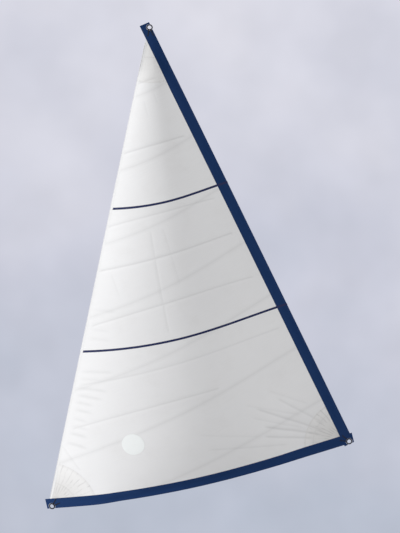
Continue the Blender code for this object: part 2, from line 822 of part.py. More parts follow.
def straps(corner, look):
    """Two webbing straps through the ring, each a loop whose legs lie on both faces of the corner."""
    middle = (RING_DIAMETER - RING_BAR) / 2
    half = STRAP_WIDTH / 2
    apex = middle - math.sqrt((middle - RING_BAR / 2) ** 2 - half**2) + GAP
    edge_turn = STRAP_SPREAD + math.asin(half / middle)
    lift = middle * (math.cos(STRAP_SPREAD) - math.cos(edge_turn)) * math.sin(RING_SWING)
    bend = RING_BAR / 2 + SWING_SPARE
    port = layer_faces(corner.top_layer)[0] + GAP
    starboard = -layer_faces(-2)[1] + GAP
    faces = []
    for grow in (0.0, STRAP_THICKNESS):
        path = [(STRAP_LENGTH, port + grow), (STRAP_CONVERGE, port + grow)]
        for start, middle_height in ((0, lift), (LOOP_STEPS, -lift)):
            for k in range(start, start + LOOP_STEPS + 1):
                angle = math.pi / 2 * (1 + k / LOOP_STEPS)
                x = bend - apex + (bend + grow) * math.cos(angle)
                path.append((x, middle_height + (bend + grow) * math.sin(angle)))
        path += [(STRAP_CONVERGE, -starboard - grow), (STRAP_LENGTH, -starboard - grow)]
        faces.append(path)
    outline = faces[0] + faces[1][::-1]
    for side, turn in (("forward", STRAP_SPREAD), ("aft", -STRAP_SPREAD)):
        place = corner.frame(turn, middle)
        finish(extruded(f"{corner.name}_strap_{side}", outline, STRAP_WIDTH, place), look)


def insignia(look):
    """A plain round of adhesive cloth."""
    centre = Vector(DISC_PLACE)
    outline = [
        centre + bearing(2 * math.pi * k / ARC_STEPS) * (DISC_DIAMETER / 2) for k in range(ARC_STEPS)
    ]
    cloth("insignia_disc", outline, 2, look)


def build():
    sailcloth = material("sailcloth", (0.90, 0.90, 0.91), 0.55)
    patch_cloth = material("patch_cloth", (0.86, 0.85, 0.84), 0.6)
    tape_cloth = material("tape_cloth", (0.92, 0.92, 0.93), 0.6)
    cover_cloth = material("cover_cloth", (0.012, 0.028, 0.085), 0.8)
    stripe_cloth = material("stripe_cloth", (0.010, 0.014, 0.045), 0.6)
    disc_cloth = material("disc_cloth", (0.87, 0.95, 0.97), 0.45)
    webbing = material("webbing", (0.012, 0.014, 0.022), 0.8)
    ring_metal = material("ring_metal", (0.02, 0.022, 0.028), 0.4, 0.9)
    cord = material("cord", (0.85, 0.85, 0.83), 0.7)
    moulding = material("moulding", (0.02, 0.02, 0.022), 0.5)

    panels(sailcloth)
    hem("luff_tape", luff_edge, LUFF_TAPE_WIDTH, BEAD_DIAMETER, LUFF_STEEPNESS, tape_cloth)
    hem("foot_tape", foot_edge, EDGE_TAPE_WIDTH, LINE_DIAMETER, EDGE_STEEPNESS, tape_cloth)
    hem("leech_tape", leech_edge, EDGE_TAPE_WIDTH, LINE_DIAMETER, EDGE_STEEPNESS, tape_cloth)
    bead = luff_edge(line_inset(BEAD_DIAMETER))[1:-1]
    tube("luff_bead", draped(bead, line_level()), BEAD_DIAMETER, cord)
    hem_line("foot_line", foot_edge, cord)
    hem_line("leech_line", leech_edge, cord)
    cleat("foot_line_cleat", foot_edge, moulding)
    cleat("leech_line_cleat", leech_edge, moulding)
    sun_strips(cover_cloth)
    draft_stripes(stripe_cloth)
    patches(patch_cloth)
    insignia(disc_cloth)
    for corner in CORNERS:
        ring(corner, ring_metal)
        straps(corner, webbing)


build()
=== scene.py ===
"""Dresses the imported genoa: fine cloth, stitching, webbing and metal over its solids, in the same frame.

The sail stands in metres, +X aft, +Z up, its belly towards -Y (port). "Plan" means the side view: points (x, z) in
arrays whose last axis is 2. Every ply lies on one smooth flying surface, at an offset towards port.
"""

import math

import bpy
import numpy as np
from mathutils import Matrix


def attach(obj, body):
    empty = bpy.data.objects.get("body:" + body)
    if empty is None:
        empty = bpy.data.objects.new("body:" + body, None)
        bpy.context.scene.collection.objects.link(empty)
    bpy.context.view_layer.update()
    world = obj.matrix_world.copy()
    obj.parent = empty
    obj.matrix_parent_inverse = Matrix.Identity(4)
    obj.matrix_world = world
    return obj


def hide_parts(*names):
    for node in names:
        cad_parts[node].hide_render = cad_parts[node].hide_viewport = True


bl_info = {
    "name": "Genoa",
    "version": (1, 0, 0),
    "blender": (4, 5, 0),
    "location": "3D View > Sidebar > Genoa",
    "description": "Dresses the genoa with its cloth, stitching, fittings, light and camera",
    "category": "Object",
}

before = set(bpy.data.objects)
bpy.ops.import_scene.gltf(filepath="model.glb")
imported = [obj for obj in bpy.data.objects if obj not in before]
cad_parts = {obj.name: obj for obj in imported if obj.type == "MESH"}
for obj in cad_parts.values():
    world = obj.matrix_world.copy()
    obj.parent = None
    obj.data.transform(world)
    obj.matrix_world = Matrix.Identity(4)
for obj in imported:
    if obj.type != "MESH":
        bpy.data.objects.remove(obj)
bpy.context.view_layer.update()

# Sail plan and flying shape, as in the solids
LUFF_LENGTH = 11.455
LEECH_LENGTH = 10.66
FOOT_LENGTH = 6.86
LUFF_RAKE = math.radians(11.2)
FOOT_ROACH = 0.095
LEECH_ROUND = 0.013
FOOT_CAMBER = 0.06
LOW_CAMBER = 0.139
HIGH_CAMBER = 0.146
FOOT_FLAT_ZONE = 0.28
HEAD_FLAT_ZONE = 0.12
DRAFT_PLACE = 0.464
LEECH_FULLNESS = 0.98
TWIST = 0.05
PATCH_FLAT_RADIUS = 0.80
PATCH_BLEND_RADIUS = 1.60
LEAST_CHORD = 0.02
SLOPE_REACH = 0.01

# Plies and seams
CLOTH = 0.0004
GAP = 0.0003
PITCH = CLOTH + GAP
MID_CLOTH = (PITCH + CLOTH) / 2
SEAM_LAP = 0.025
FIRST_SEAM = 1.367
SEAM_SPACING = 1.345
SEAM_ANGLE = math.radians(27.8)
PANELS = 8
PANEL_MARGIN = 0.004
SHARP_ANGLE = math.radians(40)

# Hems
LINE_DIAMETER = 0.003
BEAD_DIAMETER = 0.006
LINE_CLEARANCE = 0.00035
TAPE_WALL = 0.0006
TAPE_REVEAL = 0.0007
HEM_SEAT = 0.001
EDGE_TAPE_WIDTH = 0.035
LUFF_TAPE_WIDTH = 0.050
TAPE_MARGIN = 0.002
LEG_END = 0.0008
BEAD_STEPS = 600

# Shares of an edge at which its line is read, whole and near its corner
EDGE_SHARES = np.linspace(0.0, 1.0, 400)
NEAR_CORNER_SHARES = np.linspace(0.0, 0.3, 1200)

# Strips, stripes, patches, disc, and how far cloth takes to climb over what lies under it
STRIP_WIDTH = 0.223
FOOT_STRIP_LAYER = 5
LEECH_STRIP_LAYER = 6
HEM_REACH = 0.085
RING_REACH = 0.42
RING_FADE = 0.14
CLIMB = 0.04
STRIPE_CLIMB = 0.03
STRIPE_WIDTH = 0.042
STRIPE_HEIGHTS = {"upper": 0.6184, "lower": 0.3249}
STRIPE_RISE = math.radians(0.92)
STRIPE_LUFF_INSET = 0.056
STRIPE_PROUD = 0.004
STRIPE_BLEED = 0.003
PATCHES = {
    "tack": {"port": (1.00, 0.56), "starboard": (1.30, 0.80)},
    "clew": {"port": (0.98, 0.80), "starboard": (0.90, 0.60)},
    "head": {"port": (1.25, 0.70), "starboard": (1.10, 0.60)},
}
DISC_DIAMETER = 0.495
DISC_PLACE = np.array([1.773, 1.64])

# Rings and straps
RING_DIAMETER = 0.140
RING_BAR = 0.027
RING_FLAT = 0.016
BAR_RADIUS = (RING_DIAMETER - RING_BAR) / 2
CUTOUT_RADIUS = RING_DIAMETER / 2 + 0.004
TACK_RING_FROM_LUFF = 0.085
TACK_RING_FROM_FOOT = 0.042
CLEW_RING_FROM_LEECH = 0.090
CLEW_RING_FROM_FOOT = 0.042
HEAD_RING_FROM_LEECH = 0.040
HEAD_RING_FROM_TOP = 0.115
HEAD_PULL = math.radians(-83)
STRAP_WIDTH = 0.022
STRAP_THICKNESS = 0.0015
STRAP_SPREAD = math.radians(18)
STRAP_LENGTH = 0.150
STRAP_CONVERGE = 0.052
RING_SWING = math.radians(25)
SWING_SPARE = 0.0009

# Line cleats
CLEAT_LENGTH = 0.034
CLEAT_FLOOR = 0.0025
CLEAT_FROM_TAPE = 0.070
CLEAT_INSET = 0.024
LINE_RUN_OUT = 0.008
LINE_RUN_IN = 0.006
LINE_END = 0.008
LINE_BEND = 0.045

# The photograph: its size, how far it looks down, what a pixel spans at the sail, where the tack ring stands in it,
# and how far the camera is raised to share out the lens's perspective between the sail's ends and its middle
PICTURE = (400, 533)
CAMERA_DROP = math.radians(20)
PIXEL = 0.0217
TACK_PIXEL = (50.8, 506.3)
SENSOR = 36.0
CAMERA_RAISE = 0.0115

# Floor
FLOOR_MIDDLE = 3.1
FLOOR_RADIUS = 10.0
FLOOR_FADE = (5.0, 9.8)

# Marks of folding, stowing and load, by width: start and end in plan, how far each bows, its depth as a share
# Each mark sinks a shallow hollow and darkens the cloth's colour: painted crease shade, partly soiling
MARKS = {
    0.016: (
        (1.862, 9.756, 2.318, 9.932, 0.009, 1.0), (1.547, 8.143, 2.925, 8.623, 0.063, 1.2),
        (1.198, 6.452, 3.574, 7.190, 0.115, 0.9), (1.024, 5.446, 3.958, 6.394, 0.063, 1.3),
        (0.848, 4.184, 4.414, 5.382, 0.168, 1.0), (0.430, 1.811, 3.672, 2.981, 0.105, 0.9),
    ),
    0.018: (
        (0.569, 2.815, 4.974, 4.195, 0.064, 0.7), (2.153, 6.544, 2.565, 4.209, -0.018, 0.5),
        (2.413, 6.625, 2.804, 5.307, 0.001, 0.35), (2.001, 9.440, 2.109, 9.027, 0.0, 0.35),
        (2.211, 9.638, 2.318, 9.327, 0.001, 0.35), (1.285, 5.471, 1.502, 4.924, 0.0, 0.35),
        (0.236, 1.400, 0.640, 0.860, 0.0, 0.6),
    ),
    0.022: ((4.876, 2.634, 5.950, 1.915, 0.0, 0.7), (4.323, 2.230, 5.538, 1.845, 0.0, 0.4)),
    0.024: (
        (4.409, 2.442, 5.960, 1.742, 0.0, 1.0), (4.583, 1.994, 5.900, 1.672, 0.0, 1.2),
        (4.583, 1.758, 5.700, 1.605, 0.0, 1.1), (3.368, 1.521, 5.147, 1.521, 0.0, 0.5),
        (4.648, 2.839, 5.603, 2.409, 0.0, 0.35), (4.171, 2.535, 5.408, 2.184, 0.0, 0.35),
        (3.151, 1.902, 4.583, 1.758, 0.0, 0.3),
    ),
    0.034: (
        (0.579, 3.131, 1.415, 3.258, 0.01, 0.55), (0.558, 2.961, 1.154, 3.040, 0.01, 0.45),
        (0.514, 2.748, 1.285, 2.801, 0.02, 0.70), (0.500, 2.600, 1.176, 2.598, 0.01, 0.75),
        (0.460, 2.437, 0.980, 2.421, 0.01, 0.70), (0.438, 2.267, 0.950, 2.243, 0.01, 0.70),
        (0.417, 2.060, 0.851, 2.030, 0.01, 0.70), (0.370, 1.890, 0.851, 1.860, 0.01, 0.55),
        (0.340, 1.722, 0.851, 1.671, 0.01, 0.85), (0.276, 1.501, 0.851, 1.415, 0.01, 0.85),
        (0.720, 3.900, 1.350, 3.960, 0.01, 0.40), (0.770, 4.120, 1.350, 4.150, 0.01, 0.35),
        (0.850, 4.560, 1.500, 4.620, 0.01, 0.35),
    ),
}

# Widths that a mark takes to fade at its ends, how much wider than its shade its hollow is, where the hollows start
# from a ring, and the soft line of painted shade inside a patch's edge
MARK_END_WIDTHS = 6
HOLLOW_WIDER = 2.0
MARKS_FROM_RING = 0.45
MARKS_FADE = 0.40
EDGE_MARK = 0.6
EDGE_MARK_INSET = 0.014
EDGE_MARK_WIDTH = 0.018


def sizes():
    return bpy.context.scene.genoa_sizes


def unit(v):
    return v / np.linalg.norm(v, axis=-1, keepdims=True)


def bearing(angle):
    return np.stack([np.cos(angle), np.sin(angle)], -1)


def left_of(v):
    return np.array([-v[1], v[0]])


def cross(a, b):
    return a[..., 0] * b[..., 1] - a[..., 1] * b[..., 0]


def paired(a, b):
    return np.stack(np.broadcast_arrays(a, b), -1)


def spread(low, high, count):
    """Rows of count values, from each low to its high."""
    return low[:, None] + (high - low)[:, None] * np.linspace(0.0, 1.0, count)


def circle(steps):
    return np.linspace(0.0, 2 * math.pi, steps, endpoint=False)


def smooth(t):
    """Rises from 0 to 1 as t does, level at both ends: 3t^2 - 2t^3."""
    t = np.clip(t, 0.0, 1.0)
    return t * t * (3 - 2 * t)


def arched(t):
    """A parabola over 0..1, 1 high in its middle: 4t(1 - t)."""
    return 4 * t * (1 - t)


TACK_ANGLE = math.acos((LUFF_LENGTH**2 + FOOT_LENGTH**2 - LEECH_LENGTH**2) / (2 * LUFF_LENGTH * FOOT_LENGTH))
LUFF_ANGLE = math.pi / 2 - LUFF_RAKE
FOOT_ANGLE = LUFF_ANGLE - TACK_ANGLE
UP_LUFF = bearing(LUFF_ANGLE)
ALONG_FOOT = bearing(FOOT_ANGLE)
TACK = -(UP_LUFF * TACK_RING_FROM_FOOT + ALONG_FOOT * TACK_RING_FROM_LUFF) / math.sin(TACK_ANGLE)
HEAD = TACK + UP_LUFF * LUFF_LENGTH
CLEW = TACK + ALONG_FOOT * FOOT_LENGTH
DOWN_LEECH = unit(CLEW - HEAD)
LEECH_ANGLE = math.atan2(DOWN_LEECH[1], DOWN_LEECH[0])
INTO_FROM_LEECH = -left_of(DOWN_LEECH)
INTO_FROM_LUFF = -left_of(UP_LUFF)
UP_FROM_FOOT = left_of(ALONG_FOOT)
ALONG_STRIPE = bearing(FOOT_ANGLE + STRIPE_RISE)
UP_FROM_STRIPE = left_of(ALONG_STRIPE)
HEAD_ANGLE = math.acos(-UP_LUFF @ DOWN_LEECH)
ALONG_SEAM = bearing(SEAM_ANGLE)
DOWN_SEAMS = -left_of(ALONG_SEAM)


def shares(plan):
    """Plan points as a share up the luff and a share along the foot: their oblique coordinates from the tack."""
    away = plan - TACK
    whole = cross(ALONG_FOOT, UP_LUFF)
    return cross(ALONG_FOOT, away) / whole / LUFF_LENGTH, cross(away, UP_LUFF) / whole / FOOT_LENGTH


def camber_at(up, at_foot):
    """Depth as a share of the chord: straight from foot to head, less near the foot, fading out at the head."""
    up = np.maximum(0.0, up)
    body = LOW_CAMBER + (HIGH_CAMBER - LOW_CAMBER) * up
    foot_loss = (LOW_CAMBER - at_foot) * np.maximum(0.0, 1 - up / FOOT_FLAT_ZONE) ** 2
    return (body - foot_loss) * (1 - smooth((up - 1 + HEAD_FLAT_ZONE) / HEAD_FLAT_ZONE))


def draft_at(share):
    """Depth over a chord, 1 at the draft: a parabola ahead of it, a flatter cubic behind, straight beyond."""
    aft = (share - DRAFT_PLACE) / (1 - DRAFT_PLACE)
    ahead = 1 - (1 - share / DRAFT_PLACE) ** 2
    behind = 1 - (1 + LEECH_FULLNESS) * aft**2 + LEECH_FULLNESS * aft**3
    return np.select(
        [share < 0, share < DRAFT_PLACE, aft < 1],
        [2 * share / DRAFT_PLACE, ahead, behind],
        (LEECH_FULLNESS - 2) * (aft - 1),
    )


def free_height(plan, at_foot=FOOT_CAMBER):
    """The sail's Y where no corner patch stiffens it: camber times chord times draft, and the leech's twist."""
    up, along = shares(plan)
    chord = np.maximum(LEAST_CHORD, 1 - up)
    return -camber_at(up, at_foot) * FOOT_LENGTH * chord * draft_at(along / chord) - 4 * TWIST * up * along


class Corner:
    """A ring's place, the plane of the stiff cloth round it, and the axes that its fittings share."""

    def __init__(self, name, centre, pull, top_layer):
        self.name, self.centre, self.pull, self.top_layer = name, centre, pull, top_layer
        steps = SLOPE_REACH * np.eye(2)
        self.height = float(free_height(centre))
        self.slope = (free_height(centre + steps) - free_height(centre - steps)) / (2 * SLOPE_REACH)
        self.port = unit(np.array([self.slope[0], -1.0, self.slope[1]]))

    def distance(self, plan):
        return np.linalg.norm(plan - self.centre, axis=-1)

    def plane(self, plan):
        return self.height + (plan - self.centre) @ self.slope

    def run(self, heading):
        """A heading in plan as a direction along the cloth."""
        return unit(np.array([heading[0], self.slope @ heading, heading[1]]))

    def placed(self, points, turn=0.0, along=0.0):
        """Points of the corner's own frame, moved along X, turned about Y, and set in the cloth's plane.

        The frame's X runs along the cloth the way the corner pulls, its Y to port, its Z across the cloth.
        """
        x, y, z = np.moveaxis(points + np.array([along, 0.0, 0.0]), -1, 0)
        c, s = math.cos(turn), math.sin(turn)
        run = self.run(bearing(self.pull))
        axes = np.array([run, self.port, np.cross(run, self.port)])
        middle = np.array([self.centre[0], self.height - BASE_HEIGHT, self.centre[1]])
        return np.stack([c * x + s * z, y, c * z - s * x], -1) @ axes + middle


CLEW_OPENING = math.sin(TACK_ANGLE) * LUFF_LENGTH / LEECH_LENGTH
TACK_CORNER = Corner("tack", np.zeros(2), (LUFF_ANGLE + FOOT_ANGLE) / 2, FOOT_STRIP_LAYER)
CLEW_CORNER = Corner(
    "clew",
    CLEW - (DOWN_LEECH * CLEW_RING_FROM_FOOT + ALONG_FOOT * CLEW_RING_FROM_LEECH) / CLEW_OPENING,
    (LEECH_ANGLE + FOOT_ANGLE) / 2 + math.pi,
    LEECH_STRIP_LAYER,
)
HEAD_CORNER = Corner(
    "head",
    HEAD + DOWN_LEECH * HEAD_RING_FROM_TOP + INTO_FROM_LEECH * HEAD_RING_FROM_LEECH,
    HEAD_PULL,
    LEECH_STRIP_LAYER,
)
CORNERS = {corner.name: corner for corner in (HEAD_CORNER, TACK_CORNER, CLEW_CORNER)}
BASE_HEIGHT = TACK_CORNER.height


def leech_inset(plan):
    """Distance inside the rounded leech, square to its straight line."""
    away = plan - HEAD
    t = np.clip(away @ DOWN_LEECH / LEECH_LENGTH, 0.0, 1.0)
    return away @ INTO_FROM_LEECH + LEECH_ROUND * arched(t)


def foot_inset(plan):
    """Distance inside the foot's roach, square to its straight line."""
    away = plan - TACK
    t = np.clip(away @ ALONG_FOOT / FOOT_LENGTH, 0.0, 1.0)
    return away @ UP_FROM_FOOT + FOOT_ROACH * arched(t)


def marked(plan, wider=1.0):
    """The marks' depth: each a bell across its line, exp(-(distance / width)^2), that fades at the line's ends."""
    depth = np.zeros(plan.shape[:-1])
    for width, marks in MARKS.items():
        for x, z, end_x, end_z, bow, share in marks:
            run = np.array([end_x - x, end_z - z])
            length = np.linalg.norm(run)
            away = plan - np.array([x, z])
            along = away @ (run / length) / length
            across = cross(run / length, away) - bow * arched(along)
            end_run = MARK_END_WIDTHS * width
            ends = smooth(along * length / end_run) * smooth((1 - along) * length / end_run)
            depth = np.maximum(depth, share * ends * np.exp(-((across / (width * wider)) ** 2)))
    return depth


def stiffened_height(plan):
    """The free shape laid flat at each corner patch."""
    y = free_height(plan)
    for corner in CORNERS.values():
        stiff = smooth((PATCH_BLEND_RADIUS - corner.distance(plan)) / (PATCH_BLEND_RADIUS - PATCH_FLAT_RADIUS))
        y = y + (corner.plane(plan) - y) * stiff
    return y


def fullness(plan):
    """How much further to port a sail without stiff corners, full down to its foot, would stand: shading alone."""
    return stiffened_height(plan) - free_height(plan, LOW_CAMBER)


def lifted(plan, offset):
    """Plan points on the sail, an offset to port of its base: the stiffened shape, hollowed along the marks."""
    loose = sizes().mark_depth
    for corner in CORNERS.values():
        loose = loose * smooth((corner.distance(plan) - MARKS_FROM_RING) / MARKS_FADE)
    y = stiffened_height(plan) - BASE_HEIGHT + loose * marked(plan, HOLLOW_WIDER)
    return np.stack([plan[..., 0], y - offset, plan[..., 1]], -1)


def front_of(layer):
    return layer * PITCH + CLOTH


# Meshes


def grid_faces(rows, columns, around=False, closed=False):
    """Quads between neighbours of a grid kept row by row; around joins each row's ends, closed the first and last."""
    index = np.arange(rows * columns).reshape(rows, columns)
    if around:
        index = np.concatenate([index, index[:, :1]], 1)
    if closed:
        index = np.concatenate([index, index[:1]])
    quads = [index[:-1, :-1], index[:-1, 1:], index[1:, 1:], index[1:, :-1]]
    return np.stack(quads, -1).reshape(-1, 4)


def mesh_piece(name, points, uv, faces, flat=None):
    """A mesh object from arrays: points (n, 3), a UV for each, faces shaded smooth, and more faces shaded flat."""
    groups = [faces] if flat is None else [faces, flat]
    loops = np.concatenate([group.ravel() for group in groups])
    counts = np.concatenate([np.full(len(group), group.shape[1]) for group in groups])
    mesh = bpy.data.meshes.new(name)
    mesh.vertices.add(len(points))
    mesh.vertices.foreach_set("co", np.float32(points).ravel())
    mesh.loops.add(len(loops))
    mesh.loops.foreach_set("vertex_index", np.int32(loops))
    mesh.polygons.add(len(counts))
    mesh.polygons.foreach_set("loop_start", np.int32(np.cumsum(counts) - counts))
    mesh.polygons.foreach_set("use_smooth", np.arange(len(counts)) < len(faces))
    if uv is not None:
        mesh.uv_layers.new(name="cut").data.foreach_set("uv", np.float32(uv[loops]).ravel())
    mesh.update(calc_edges=True)
    mesh.validate()
    mesh.set_sharp_from_angle(angle=SHARP_ANGLE)
    made = bpy.data.objects.new(name, mesh)
    bpy.context.scene.collection.objects.link(made)
    return made


def with_values(piece, name, values):
    """The piece with a number at each of its points, for its finish to read."""
    piece.data.attributes.new(name, "FLOAT", "POINT").data.foreach_set("value", np.float32(values))
    return piece


def outward(points, *groups):
    """Groups of faces, all turned round if the volume that they close comes out negative."""
    corner = points[np.concatenate([faces[:, [0, k, k + 1]] for faces in groups for k in range(1, faces.shape[1] - 1)])]
    volume = np.einsum("ij,ij->i", corner[:, 0], np.cross(corner[:, 1], corner[:, 2])).sum()
    return groups if volume > 0 else [faces[:, ::-1] for faces in groups]


def facing_port(plan, faces):
    """The quads, each turned so that its corners run anticlockwise in plan, which faces them to port."""
    corner = plan[faces]
    twice_area = cross(corner[:, 2] - corner[:, 0], corner[:, 3] - corner[:, 1])
    return np.where(twice_area[:, None] < 0, faces[:, ::-1], faces)


def punched(plan, faces, corner):
    """A ring's round cut-out: quads whose middle is inside go, and the corners that they leave move onto it."""
    inside = corner.distance(plan[faces].mean(1)) < CUTOUT_RADIUS
    rim = np.intersect1d(faces[inside], faces[~inside])
    plan = plan.copy()
    plan[rim] = corner.centre + unit(plan[rim] - corner.centre) * CUTOUT_RADIUS
    return plan, faces[~inside]


def ply(name, plan, front, back, uv, holes=(), edge=None):
    """A closed ply of cloth over a plan grid (rows, columns, 2): a port face, a starboard face and the rim between.

    front and back are its faces' offsets to port, numbers or functions of plan points. The rim is a quad on every
    edge that has only one quad. A patch's outer edge, its corner and its radius, shows as a soft line of painted
    shade. The cut's width, length and area come back with the ply.
    """
    faces = grid_faces(*plan.shape[:2])
    plan, uv = plan.reshape(-1, 2), uv.reshape(-1, 2)
    for corner in holes:
        plan, faces = punched(plan, faces, corner)
    kept, faces = np.unique(faces, return_inverse=True)
    plan, uv = plan[kept], uv[kept]
    faces = facing_port(plan, faces.reshape(-1, 4))
    count = len(plan)
    starts, ends = faces.ravel(), np.roll(faces, -1, 1).ravel()
    free = ~np.isin(starts * count + ends, ends * count + starts)
    a, b = starts[free], ends[free]
    rim = np.stack([b, a, a + count, b + count], -1)
    points = np.concatenate([lifted(plan, level(plan) if callable(level) else level) for level in (front, back)])
    both = np.concatenate([faces, faces[:, ::-1] + count])
    made = mesh_piece(name, points, np.concatenate([uv, uv]), both, rim)
    # The marks darken the finish: painted shade along the creases, partly soiling, and inside a patch's edge
    full, marks = fullness(plan), marked(plan)
    if edge is not None:
        from_edge = edge[1] - EDGE_MARK_INSET - edge[0].distance(plan)
        marks = np.maximum(marks, EDGE_MARK * np.exp(-((from_edge / EDGE_MARK_WIDTH) ** 2)))
    with_values(made, "fullness", np.concatenate([full, -full]))
    with_values(made, "marks", np.concatenate([marks, marks]))
    return made, cut_size(plan, points[:count], faces)


def cut_size(plan, points, faces):
    """Width, length and area of the flat cut: the plan's box along its longest line, stretched as the cloth is."""
    corner, flat = points[faces], plan[faces]
    crossed = np.cross(corner[:, 2] - corner[:, 0], corner[:, 3] - corner[:, 1])
    area = float(np.linalg.norm(crossed, axis=-1).sum() / 2)
    flat_area = float(np.abs(cross(flat[:, 2] - flat[:, 0], flat[:, 3] - flat[:, 1])).sum() / 2)
    centred = plan - plan.mean(0)
    _, axes = np.linalg.eigh(centred.T @ centred)
    width, length = np.ptp(centred @ axes, axis=0) * math.sqrt(area / flat_area)
    return float(width), float(length), area


def carried(path, across, section):
    """A closed section (k, 2) carried along a path (n, 3): its first coordinate runs along across, its second along
    the path's tangent crossed with across."""
    tangent = unit(np.gradient(path, axis=0))
    up = unit(np.cross(tangent, across))
    side = np.cross(up, tangent)
    return path[:, None] + section[None, :, :1] * side[:, None] + section[None, :, 1:] * up[:, None]


def tube_piece(name, points, section):
    """A tube from rings of points (n, k, 3), closed at both ends by a fan about each end's middle."""
    count, ring = points.shape[:2]
    steps = np.linalg.norm(np.diff(points.mean(1), axis=0), axis=-1)
    along = np.concatenate([[0.0], np.cumsum(steps)])
    uv = paired(along[:, None], section[None, :, 0]).reshape(-1, 2)
    uv = np.concatenate([uv, [[0.0, 0.0], [along[-1], 0.0]]])
    first = np.arange(ring)
    last = first + (count - 1) * ring
    tip = np.full(ring, count * ring)
    caps = [np.stack([np.roll(first, -1), first, tip], -1), np.stack([last, np.roll(last, -1), tip + 1], -1)]
    every = np.concatenate([points.reshape(-1, 3), points[[0, -1]].mean(1)])
    return mesh_piece(name, every, uv, *outward(every, grid_faces(count, ring, around=True), np.concatenate(caps)))


def fit(piece, node_name, slot_name, body="sail"):
    """Files a finished piece: its material, the body that it rides on, and the CAD node that it stands for."""
    piece.data.materials.append(finish_for(slot_name))
    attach(piece, body)
    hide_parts(node_name)


def fit_sheet(made, node_name, slot_name):
    piece, (width, length, area) = made
    fit(piece, node_name, slot_name)


# Plans of the pieces, each a grid of points (rows, columns, 2)


def foot_line(inset, t):
    """The foot at shares t from tack to clew: its straight line less a parabola of roach, moved in."""
    moved = (inset - FOOT_ROACH * arched(t))[:, None]
    return TACK + ALONG_FOOT * (FOOT_LENGTH * t)[:, None] + UP_FROM_FOOT * moved


def leech_line(inset, t):
    """The leech at shares t from head to clew: its straight line plus a parabola of round, moved in."""
    moved = (inset - LEECH_ROUND * arched(t))[:, None]
    return HEAD + DOWN_LEECH * (LEECH_LENGTH * t)[:, None] + INTO_FROM_LEECH * moved


def luff_line(inset, t):
    return TACK + UP_LUFF * (LUFF_LENGTH * t)[:, None] + INTO_FROM_LUFF * inset


def line_inset(diameter):
    return TAPE_REVEAL + TAPE_WALL + LINE_CLEARANCE + diameter / 2


def panel_inset(diameter):
    return line_inset(diameter) + diameter / 2 + LINE_CLEARANCE + HEM_SEAT


def meeting(p, heading, q, other):
    """Where the line through p along heading meets the line through q along other."""
    return p + heading * (cross(q - p, other) / cross(heading, other))


def body_chains():
    """The panels' outline as its forward and its after chain, each a run of plan points from the head down."""
    luff_in, edge_in = panel_inset(BEAD_DIAMETER), panel_inset(LINE_DIAMETER)
    top = HEAD + DOWN_LEECH * edge_in
    shoulder = top + INTO_FROM_LEECH * (STRIP_WIDTH - edge_in)
    peak = top + INTO_FROM_LEECH * edge_in
    luff_start = TACK + INTO_FROM_LUFF * luff_in
    armpit = meeting(shoulder, DOWN_LEECH, luff_start, UP_LUFF)
    tack_in, clew_in = bearing(TACK_CORNER.pull), bearing(CLEW_CORNER.pull)
    tack_cut = TACK_CORNER.centre + tack_in * CUTOUT_RADIUS
    clew_cut = CLEW_CORNER.centre + clew_in * CUTOUT_RADIUS
    tack_high = meeting(tack_cut, left_of(tack_in), luff_start, UP_LUFF)
    foot, leech = foot_line(edge_in, EDGE_SHARES), leech_line(edge_in, EDGE_SHARES)
    foot = foot[((foot - tack_cut) @ tack_in > 0) & ((foot - clew_cut) @ clew_in > 0)]
    leech = leech[((leech - clew_cut) @ clew_in > 0) & ((leech - peak) @ DOWN_LEECH > 0)]
    forward = np.concatenate([[shoulder, armpit, tack_high], foot])
    after = np.concatenate([[shoulder, peak], leech, foot[-1:]])
    return forward, after


def seam_place(k):
    """How far down the seams' square direction seam k lies."""
    return float((HEAD + DOWN_LEECH * (FIRST_SEAM + SEAM_SPACING * k)) @ DOWN_SEAMS)


def with_corners(rows, corners):
    """Rows in order, the nearest moved to each corner that lies between them."""
    for place in corners:
        if rows[0] < place < rows[-1]:
            rows[1:-1][np.argmin(np.abs(rows[1:-1] - place))] = place
    return np.sort(rows)


def panel_grid(k):
    """Panel k: rows along its seams from one lap to the next, each from the forward chain to the after chain."""
    spacing = sizes().panel_spacing
    forward, after = body_chains()
    down_forward, down_after = forward @ DOWN_SEAMS, after @ DOWN_SEAMS
    top = seam_place(k - 1) - SEAM_LAP / 2 if k > 0 else down_forward[0] + PANEL_MARGIN
    bottom = seam_place(k) + SEAM_LAP / 2 if k < PANELS - 1 else down_forward[-1] - PANEL_MARGIN
    rows = np.linspace(top, bottom, max(8, round((bottom - top) / spacing)) + 1)
    rows = with_corners(rows, [*down_forward[:4], down_after[1], down_after[-2]])
    low = np.interp(rows, down_forward, forward @ ALONG_SEAM)
    high = np.interp(rows, down_after, after @ ALONG_SEAM)
    along = spread(low, high, max(8, round((high - low).max() / spacing)) + 1)
    return along[..., None] * ALONG_SEAM + rows[:, None, None] * DOWN_SEAMS, paired(along, rows[:, None])


def strip_grid(line, length):
    """A sun strip: insets from 0 to its width, ends square to the edge, and finer steps within reach of both ends."""
    spacing, fine = sizes().strip_spacing, sizes().fine_spacing
    ends = max(2, round(RING_REACH / fine))
    middle = max(2, round((length - 2 * RING_REACH) / spacing))
    places = [
        np.linspace(0.0, RING_REACH, ends + 1)[:-1],
        np.linspace(RING_REACH, length - RING_REACH, middle + 1)[:-1],
        np.linspace(length - RING_REACH, length, ends + 1),
    ]
    t = np.concatenate(places) / length
    insets = np.linspace(0.0, STRIP_WIDTH, round(STRIP_WIDTH / fine) + 1)
    return np.stack([line(inset, t) for inset in insets]), paired((t * length)[None, :], insets[:, None])


def patch_under(plan):
    """Top of what lies on the port side below the strips: two panels, and each port patch with a soft edge."""
    top = np.full(plan.shape[:-1], front_of(1))
    for name, sides in PATCHES.items():
        for radius in sides["port"]:
            top = top + PITCH * smooth((radius + CLIMB - CORNERS[name].distance(plan)) / CLIMB)
    return top


